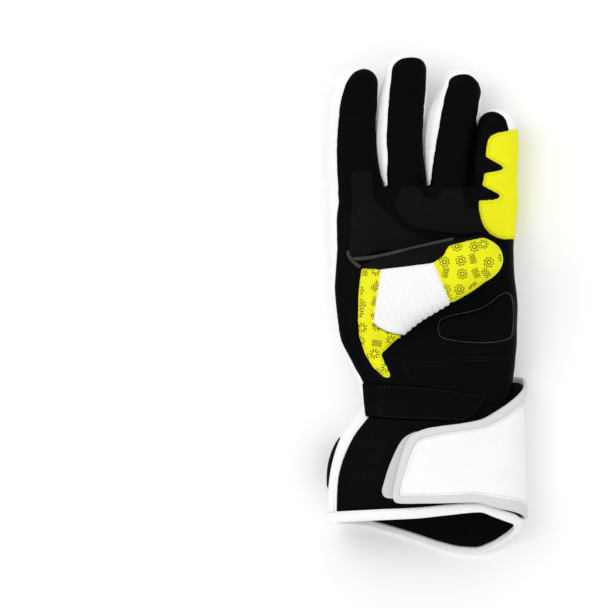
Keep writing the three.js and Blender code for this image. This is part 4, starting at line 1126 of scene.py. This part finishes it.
low, high = np.array([-78.0, -71.0, -2.7]), np.array([78.0, 170.0, 63.0])
counts = np.ceil((high - low) / GRID).astype(int) + 1
axes = [low[k] + np.arange(counts[k]) * GRID for k in range(3)]
samples = np.stack(np.meshgrid(*axes, indexing="ij"), -1).reshape(-1, 3)
points, quads = surface_nets(glove_field(samples).reshape(counts), low, GRID)
points = evened(glove_field, points, triangulated(points, quads), 3)
points = closed_up(onto(glove_field, points, 2))
faces = triangulated(points, quads)


def mean(values):
    """Each face's mean of a value of the hand's points."""
    return values[faces].mean(axis=1)


def outline_value(name, points):
    value = outside(points, outlines[name])
    return np.maximum(value, GUARD_FLOOR - points[:, 2]) if name == "little_finger_guard" else value


def split_by(function, relevant):
    """Cuts the hand's mesh where a function of place is 0, on the faces that relevant gives."""
    global points, faces
    points, faces = cut(points, faces, function(points), relevant())


def thumb_nearer():
    """Below 0 on the thumb's faces and above 0 on the hand's."""
    return mean(thumb_field(points) - hand_field(points, False))


raised = lambda: mean(points[:, 2]) > PANEL_FLOOR - 3
raised_thumb = lambda: (thumb_nearer() < 0.5) & raised()
split_by(lambda p: p[:, 1] - WRIST_SEAM, lambda: np.ones(len(faces), bool))
faces = faces[mean(points[:, 1]) > WRIST_SEAM]
split_by(lambda p: outside(p, base_outline), raised)
split_by(lambda p: thumb_field(p) - hand_field(p, False), raised)
split_by(thumb_seam_height, lambda: thumb_nearer() < 0.5)
split_by(lambda p: signed(p, THUMB_SIDE_SEAM), raised_thumb)
split_by(lambda p: signed(p, TIP_SEAM), raised_thumb)
split_by(lambda p: signed(p, STRETCH_END[4:]), lambda: raised_thumb() & (mean(points[:, 0]) > -14))
split_by(seam_height, lambda: thumb_nearer() > -0.5)
for name in outlines:
    floor_level = 4 if name == "little_finger_guard" else 20
    split_by(
        lambda p: outline_value(name, p),
        lambda: (thumb_nearer() > -0.5) & (mean(points[:, 2]) > floor_level),
    )
for line in PALM_LINES:
    split_by(lambda p: signed(p, line), lambda: (mean(to_segments(points, line)[0]) < 2) & raised())

normals = normals_of(points, faces)
facing_up, height = mean(normals[:, 2]), mean(points[:, 2])
on_thumb = thumb_nearer() < 0
over_seam = on_thumb & (mean(thumb_seam_height(points)) > 0)
label = np.where(mean(seam_height(points)) > 0, "palm", "back").astype("<U7")
label[on_thumb] = "under"
for panel, line in (("stretch", STRETCH_END), ("tip", TIP_SEAM), ("side", THUMB_SIDE_SEAM)):
    label[over_seam & (mean(signed(points, line)) > 0)] = panel
label[(mean(outside(points, base_outline)) < 0) & (height > PANEL_FLOOR) & (facing_up > -0.3)] = "base"

edges = edges_of(faces)
edge_label = np.tile(label, 3)
key = edge_keys(edges, len(points))
order = np.argsort(key, kind="stable")
same = key[order][:-1] == key[order][1:]
seams = order[:-1][same & (edge_label[order][:-1] != edge_label[order][1:])]
to_seam = distance_to(edges[seams], points, points)
to_line = np.min([to_segments(points, line)[0] for line in PALM_LINES], axis=0)
to_line = np.where(normals[:, 2] > 0.25, to_line, FAR)

lift = 0.22 * waves(points, 34, 3) + 0.1 * waves(points, 13, 4)
lift += relief("beside_seam", to_seam) + relief("seam", to_seam)
lift += relief("wrist", points[:, 1] - WRIST_SEAM) + relief("palm_line", to_line)
owner = owners(points, False)
for number, bends in enumerate(CREASES):
    on_palm = smoothstep(normals[:, 2], 0.1, 0.6) * (owner == number) * (thumb_field(points) > 4)
    for y in bends:
        bent = points[:, 1] - y - 0.9 * np.sin(points[:, 0] * 0.35 + y)
        lift += relief("crease", bent) * on_palm
        lift += relief("beside_crease", np.abs(bent)) * on_palm
lift = np.where(points[:, 2] < 0.6, np.minimum(lift, 0), lift)


def ribs(points, to_edge):
    """The folds of the stretch panel, side by side from the thumb's tip to its root."""
    pitch = RIBS["run"] / RIBS["count"]
    round_fold = np.abs(np.sin(np.pi * -signed(points, TIP_SEAM) / pitch)) ** 0.8
    return RIBS["height"] * (round_fold - 0.35) * 1.6 * smoothstep(to_edge, 0.0, 2.2)


# Each panel's piece, its look, and the nodes that it replaces besides its own.
PANELS = {
    "palm": ("palm_leather", "black", [f"{n}_finger_front" for n in FINGERS]),
    "back": ("back_leather", "white", [f"{n}_finger_back" for n in FINGERS]),
    "base": ("thumb_base_panel", "printed", []),
    "under": ("thumb_underside", "black", []),
    "side": ("thumb_side_panel", "grip", []),
    "tip": ("thumb_tip_panel", "printed", []),
    "stretch": ("thumb_stretch_panel", "stretch", []),
}
for panel, (name, look, others) in PANELS.items():
    chosen, at, up, raise_by = faces[label == panel], points, normals, lift
    if panel == "stretch":
        for _ in range(2):
            at, chosen, (up, raise_by) = subdivided(at, chosen, [up, raise_by])
        raise_by = raise_by + ribs(at, to_rim(at, chosen))
    made, shown = shell(at, up, chosen, raise_by, -WALL)
    lined = len(chosen) if panel in ("palm", "back", "under", "base") else 0
    piece(name, made, shown, look, [name] + others, lined=lined)

skin = BVHTree.FromPolygons((points + normals * lift[:, None]).tolist(), faces.tolist())

# Each overlay's look, how thick it is, and how wide its edge turns in.
OVERLAYS = {
    "grip_panel_fingers": ("grip", OVERLAY, 1.3),
    "grip_panel_index": ("grip", OVERLAY, 1.3),
    "heel_pad": ("black", PAD, 7.0),
    "little_finger_guard": ("yellow", OVERLAY, 1.3),
}
for name, (look, thick, radius) in OVERLAYS.items():
    guard = name == "little_finger_guard"
    on_front = (label == "palm") & (facing_up > 0) & (height > 18)
    allowed = np.isin(label, ("palm", "back")) if guard else on_front
    chosen = faces[(mean(outline_value(name, points)) < 0) & allowed]
    share = np.clip(to_rim(points, chosen) / radius, 0, 1)
    stand = (thick - 0.25) * np.sqrt(1 - (1 - share) ** 2)
    if guard:
        stand = stand * (0.3 + 0.7 * smoothstep(normals[:, 2], 0, 0.7))
    top = 0.3 + np.maximum(lift, -0.1) * 0.4 + 0.2 + stand
    made, shown = shell(points, normals, chosen, top, lift + 0.05)
    dressed = piece(name, made, shown, look)
    tree = BVHTree.FromPolygons(made.tolist(), shown.tolist())
    outline = outlines[name]
    if guard:
        sew_on(tree, "yellow", beside(outline[outline[:, 0] < 60], 1.7), 0.1, pitch=2.8)
    elif name == "heel_pad":
        laid = np.array(from_above(tree, inset(outline, 0.7), 0.05)[0])
        piece("heel_pad_edge", *tube_of(cord(laid[:-1], 0.36, 8, closed=True), closed=True), "piping", ())
    else:
        sew_on(tree, "black", inset(outline, 2.1), -0.15, pitch=2.8, wide=0.45)

line = inset(base_outline, 1.7)
line = np.roll(line[:-1], -int(np.argmax(line[:, 1] < BASE_SEWN_TO)), axis=0)
sew_on(skin, "yellow", line[line[:, 1] < BASE_SEWN_TO], pitch=2.9)
sew_on(skin, "yellow", beside(spline(TIP_SEAM[1:3], 8), 1.7), pitch=2.9)
sew_on(skin, "black", beside(spline(THUMB_SIDE_SEAM[2:7], 8), 1.8), pitch=2.9)
for line in PALM_LINES:
    sew_on(skin, "grey", spline(line, 8) + [0, 1.2], 0.0, pitch=2.8, wide=0.4)
sew_on(skin, "black", spline(STRETCH_END[2:6], 10), 0.25, pitch=2.0, long=2.2)


# The thumb's piping

for part, name, nodes in (("main", "thumb_piping", None), ("hook", "thumb_piping_end", ())):
    laid = spline(PIPING[part], 8)
    for place in laid:
        hit, _ = under(skin, place[0], place[1])
        place[2] = max(place[2], hit.z + 0.35 + 0.6 * smoothstep(place[0], -34, -10))
    for _ in range(6):
        laid[1:-1, 2] = (laid[:-2, 2] + 2 * laid[1:-1, 2] + laid[2:, 2]) / 4
    piece(name, *tube_of(cord(laid, PIPING_RADIUS)), "piping", nodes)


# The gauntlet


def cuff_section(y):
    thumb, little, bottom, top, stand = columns(CUFF, "thumb little bottom top stand", y)
    return (thumb + little) / 2, (bottom + top) / 2, (little - thumb) / 2, (top - bottom) / 2, stand


def on_cuff(angle, y, off):
    """Places at an angle and Y, off the cuff's surface."""
    angle, y, off = np.broadcast_arrays(*(np.asarray(v, float) for v in (angle, y, off)))
    x, z, wide, high, _ = cuff_section(y)
    exponent = 2 / TRUNK_SQUARENESS
    height = z + (high + off) * power(np.sin(np.radians(angle)), exponent)
    height = -blend_min(-height, -np.maximum(-off, 0), 1.2)
    return np.stack([x + (wide + off) * power(np.cos(np.radians(angle)), exponent), y, height], -1)


def angle_over(x, y, off):
    """The angle round the cuff of a place seen from above, on the palm side."""
    middle, _, wide, _, _ = cuff_section(y)
    across = np.clip((x - middle) / (wide + off), -1, 1)
    return np.degrees(np.arccos(power(across, TRUNK_SQUARENESS / 2)))


def seen_from_above(places, off):
    """Places by X and Y as places by angle and Y, off the cuff's palm side."""
    return [(float(angle_over(x, y, off)), y) for x, y in places]


def fixed(value):
    return lambda _: value


def cuff_end(angle):
    x = on_cuff(angle, FRONT_END[0]["y"], 0)[..., 0]
    palm_side = smoothstep(np.sin(np.radians(angle)), -0.3, 0.3)
    return between(column(BACK_END, "y", x, "x"), column(FRONT_END, "y", x, "x"), palm_side)


def front_hem(angle):
    deep = column(FRONT_HEM, "deep", on_cuff(angle, FRONT_END[0]["y"], 0)[..., 0], "x")
    dip = FRONT_HEM_DIP
    return deep - dip["deep"] * hump(np.asarray(angle), dip["wide"], dip["angle"])


def thumb_seam(y):
    return column(CUFF_THUMB_SEAM, "angle", y)


def cuff_places(from_angle, to_angle, start, end, across, down):
    """A grid of angles and Ys between two angles and two ends, all functions."""
    u, v = grid(across + 1, down + 1)
    place = lambda y: between(from_angle(y), to_angle(y), u)
    y = np.full(u.shape, WRIST_SEAM)
    for _ in range(4):
        angle = place(y)
        y = between(start(angle), end(angle), v)
    return place(y), y


def grained(angle, y, seed, size=30, depth=0.3):
    """Gentle dents of leather over a grid of places on the cuff."""
    places = on_cuff(angle, y, 0)
    return (waves(places.reshape(-1, 3), size, seed) * depth).reshape(places.shape[:2])


def patch(name, angle, y, top, bottom, look, nodes=None, lined=0):
    """A layer between two heights over the cuff."""
    made, shown = sheet(on_cuff(angle, y, top), on_cuff(angle, y, bottom))
    return piece(name, made, shown, look, nodes, lined=lined)


def cuff_leather(name, sides, hem, across, down, look, seed):
    end = lambda angle: cuff_end(angle) + hem(angle) + 0.3
    angle, y = cuff_places(*sides, fixed(WRIST_SEAM), end, across, down)
    rows, cols = np.arange(down + 1), np.arange(across + 1)
    to_end = np.minimum(rows, down - rows)[None, :] * (CUFF_LONG / down)
    to_side = np.minimum(cols, across - cols)[:, None] * (CUFF_ROUND / across)
    near = np.minimum(to_end, to_side)
    off = grained(angle, y, seed) + (relief("inside_cuff_edge", near) + relief("cuff_edge", near))
    off = np.where(on_cuff(angle, y, 0)[..., 2] < 0.5, np.minimum(off, 0), off)
    patch(name, angle, y, off, -CUFF_WALL, look, lined=across * down)


front_sides = (fixed(CUFF_LITTLE_SEAM), thumb_seam)
back_sides = (lambda y: thumb_seam(y) + SEAM_GAP, fixed(360.0 + CUFF_LITTLE_SEAM - SEAM_GAP))
cuff_leather("cuff_front", front_sides, front_hem, 110, 60, "black", 11)
cuff_leather("cuff_back", back_sides, fixed(HEM["back"]), 130, 66, "white", 12)


def rounded(count=16, square=4.0):
    """A rounded strip's section: places across from 0 to 1 and heights from 0 to 1."""
    turn = 2 * np.pi * (np.arange(count) + 0.5) / count
    return 0.5 + 0.5 * power(np.cos(turn), 2 / square), 0.5 + 0.5 * power(np.sin(turn), 2 / square)


def hem_binding(name, start, end, depth):
    """The folded strip round the opening's edge, as thick as it stands proud on both sides."""
    share, up = rounded()
    proud = (HEM["thick"] - CUFF_WALL) / 2
    angle = np.linspace(start, end, 150)[:, None]
    y = cuff_end(angle) + depth(angle) * (1 - share)
    layers = HEM["corner"] * hump((angle + 180) % 360 - 180, 20, 2)
    off = -CUFF_WALL - proud - layers + (HEM["thick"] + layers) * up + 0.12 * np.sin(angle * 1.7)
    piece(name, *tube_of(on_cuff(angle, y, off)), "hem")


seam_angle = float(thumb_seam(HEM["seam_y"]))
hem_binding("front_hem_binding", CUFF_LITTLE_SEAM, seam_angle, front_hem)
hem_binding(
    "back_hem_binding", seam_angle + SEAM_GAP, 360 + CUFF_LITTLE_SEAM - SEAM_GAP, fixed(HEM["back"])
)

lining_sides = [fixed(angle) for angle in LINING["angles"]]
lining_end = lambda angle: cuff_end(angle) + HEM["back"] + 0.6
angle, y = cuff_places(*lining_sides, fixed(LINING["start"]), lining_end, 80, 30)
off = -LINING["off"] + 0.25 * grained(angle, y, 21, 16, 0.6)
patch("cuff_lining", angle, y, off, off - LINING["thick"], "lining")


# The flap


def flap_lift(angle, y):
    """How far the flap's underside stands off the cuff."""
    side = np.cos(np.radians(np.clip(angle, -90, 90))) ** 2
    slack = np.maximum(0, np.sin(np.radians((angle - 10) * 2))) * FLAP["slack"]
    lift = between(FLAP["root"], FLAP["end"], smoothstep(angle, 20, 100))
    return lift + cuff_section(y)[4] * side + np.where(angle < 90, slack * smoothstep(y, -110, -134), 0)


outer, inner = (
    spline(start + seen_from_above(seen, FLAP["end"]) + end, FLAP_SAMPLES)
    for start, seen, end in (FLAP_EDGE["outer"], FLAP_EDGE["inner"])
)
turn = FLAP_TURN * FLAP_SAMPLES
v = np.linspace(0, 1, 45)
angle, y = ruled(inner[: turn + 1], inner[::-1][: turn + 1], v)
near = np.minimum(np.minimum(v, 1 - v) * 60, (turn - np.arange(turn + 1))[:, None] * 1.2)
puff = 0.35 * smoothstep(near, 0, 7) + relief("flap_edge", near)
lift = flap_lift(angle, y) + 0.15
top = lift + FLAP["thick"] - 0.35 + puff + grained(angle, y, 31, 34, 0.22)
patch("cuff_flap", angle, y, top, lift, "white")

share, up = rounded()
angle, y = ruled(inner, outer, share)
off = flap_lift(angle, y) + up * (FLAP["binding"] + 0.25)
piece("flap_binding", *tube_of(on_cuff(angle, y, off)), "binding")

u, v = grid(40, 70)
angle = between(*GUSSET["angles"], u)
y = between(GUSSET["start"], GUSSET["end"], v**1.7)
full = np.maximum(flap_lift(angle, y) - 0.35, 0.4)
rise = np.sqrt(1 - (1 - np.clip((GUSSET["start"] + 0.3 - y) / GUSSET["turn"], 0, 1)) ** 2)
patch("flap_gusset", angle, y, between(0.3, full, rise), -0.6, "black", ())

corners = seen_from_above([(x, HEM_TAB["x_taken_at"]) for x in HEM_TAB["x"]], 0.8)
u, v = grid(13, 13)
angle, y = between(corners[0][0], corners[1][0], u), between(*HEM_TAB["y"], v)
near = np.minimum(np.minimum(u, 1 - u), np.minimum(v, 1 - v)) * 6
patch("hem_tab", angle, y, 0.9 + 0.8 * np.clip(near / 0.6, 0, 1) ** 0.5, 0.3, "hem", ())


def lay(angle, y, off, colour, **facts):
    """Stitches along places by angle and Y, off the cuff's surface."""
    here = on_cuff(angle, y, off)
    sew(colour, here, unit(on_cuff(angle, y, off + 1) - here), **facts)


for away, stand in ((-0.24, FLAP["thick"] + 0.1), (0.3, FLAP["binding"] + 0.2)):
    line = inner + away * (outer - inner)
    angle, y = line[line[:, 0] > -20].T
    lay(angle, y, flap_lift(angle, y) + stand, "white")

right, left = (spline(seen_from_above([(row[k], row[0]) for row in TAPE], 0.3), 4) for k in (1, 2))
angle, y = ruled(right, left, np.linspace(0, 1, 20))
patch("flap_closure_tape", angle, y, 1.65, 0.45, "tape")


# Strap and side pad

upper, lower = (spline(STRAP[side], 8) for side in ("upper", "lower"))


def on_strap(share):
    """Angles and Ys over the strap, between its edges as seen from above."""
    x, y = ruled(upper, lower, share)
    return angle_over(x, y, 1.0), y


share = np.linspace(0, 1, 29)
angle, y = on_strap(share)
rows = np.arange(len(upper))[:, None]
near = np.minimum(np.minimum(share, 1 - share) * 24, (len(upper) - 1 - rows) * 0.8)
near = np.minimum(near, rows * 1.2)
off = 0.75 + 1.6 * np.clip(near / 0.9, 0, 1) ** 0.5 + relief("strap_seam", near)
patch("wrist_strap", angle, y, off + grained(angle, y, 41, 24, 0.15), 0.15, "black")

for share in STRAP_SEWN:
    angle, y = on_strap([share])
    lay(angle[15:-9, 0], y[15:-9, 0], STRAP_TOP, "grey", pitch=2.8)
angle, y = on_strap(np.linspace(*STRAP_SEWN, 20))
for number in (14, 16, -10):
    lay(angle[number], y[number], STRAP_TOP, "grey", pitch=2.8)

u, v = grid(25, 41)
y = between(SIDE_PAD["start"], SIDE_PAD["end"], v)
lens = np.sin(np.pi * np.clip(v, 0, 1)) ** 0.8 + 0.03
level = (SIDE_PAD["low"] + SIDE_PAD["high"]) / 2 + (0.5 - u) * (SIDE_PAD["high"] - SIDE_PAD["low"]) * lens
_, middle, _, high, _ = cuff_section(y)
angle = 180 - np.degrees(np.arcsin(power((level - middle) / high, TRUNK_SQUARENESS / 2)))
top = 0.7 + (SIDE_PAD["thick"] - 0.4) * (np.sin(np.pi * u) * np.sin(np.pi * v)) ** 0.5
pad = patch("cuff_side_pad", angle, y, top, 0.4, "black")
for row in (3, -4):
    lay(angle[row, 3:-3], y[row, 3:-3], top[row, 3:-3], "grey", pitch=2.8)

y = np.linspace(WRIST_SEAM - 2, -138, 60)
lay(thumb_seam(y) + 4.0, y, 0.15, "white")
lay(thumb_seam(y) - 3.6, y, 0.1, "black")
angle = np.linspace(20, seam_angle - 2, 160)
lay(angle, cuff_end(angle) + front_hem(angle) - 1.3, 0.55, "white", wide=0.4)
angle = np.linspace(seam_angle + 3, 345, 200)
lay(angle, cuff_end(angle) + HEM["back"] - 1.2, 0.55, "white", wide=0.4)

for colour, places in stitches.items():
    piece(f"{colour}_stitches", *sewn(places), f"{colour}_thread", (), sharp=80)


# The studio

floor_mesh = bpy.data.meshes.new("floor")
floor_mesh.from_pydata([(-3, -3, 0), (3, -3, 0), (3, 3, 0), (-3, 3, 0)], [], [(0, 1, 2, 3)])
floor = placed("floor", floor_mesh)
paper = Graph("pale_floor")
tone = paper.toned(paper.between(paper.noise(300, 3), 0.3, 0.7), (1.0,) * 3, 0.93, 0.95)
rough = paper.between(paper.noise(40), 0, 1, 0.85, 0.95)
floor_mesh.materials.append(paper.finish(tone, rough, [(paper.noise(2), 0.02)], 0.1))

world = bpy.data.worlds.new("studio")
bpy.context.scene.world = world
world.use_nodes = True
sky = world.node_tree.nodes["Background"].inputs
sky["Color"].default_value = (1, 1, 1, 1)
sky["Strength"].default_value = 0.9

for name, place, size, watts in (
    ("key", (-0.9, 0.7, 1.6), 1.2, 9),
    ("fill", (1.0, -0.6, 1.5), 1.6, 2),
    ("top", (0.0, 0.0, 2.4), 2.2, 1),
):
    light = bpy.data.lights.new(name, "AREA")
    light.size = size
    light.energy = watts
    lamp = placed(name, light)
    lamp.location = place
    lamp.rotation_euler = (-Vector(place)).to_track_quat("-Z", "Y").to_euler()

view = bpy.data.cameras.new("photo_view")
view.sensor_width = 36
view.lens = LENS
distance = PLAN_WIDTH * LENS / view.sensor_width + PLAN_LEVEL
camera = placed("photo_view", view)
camera.location = (np.array([*PLAN_CENTRE, distance]) + SHIFT) / 1000
bpy.context.scene.camera = camera
bpy.context.scene.view_settings.view_transform = "Standard"
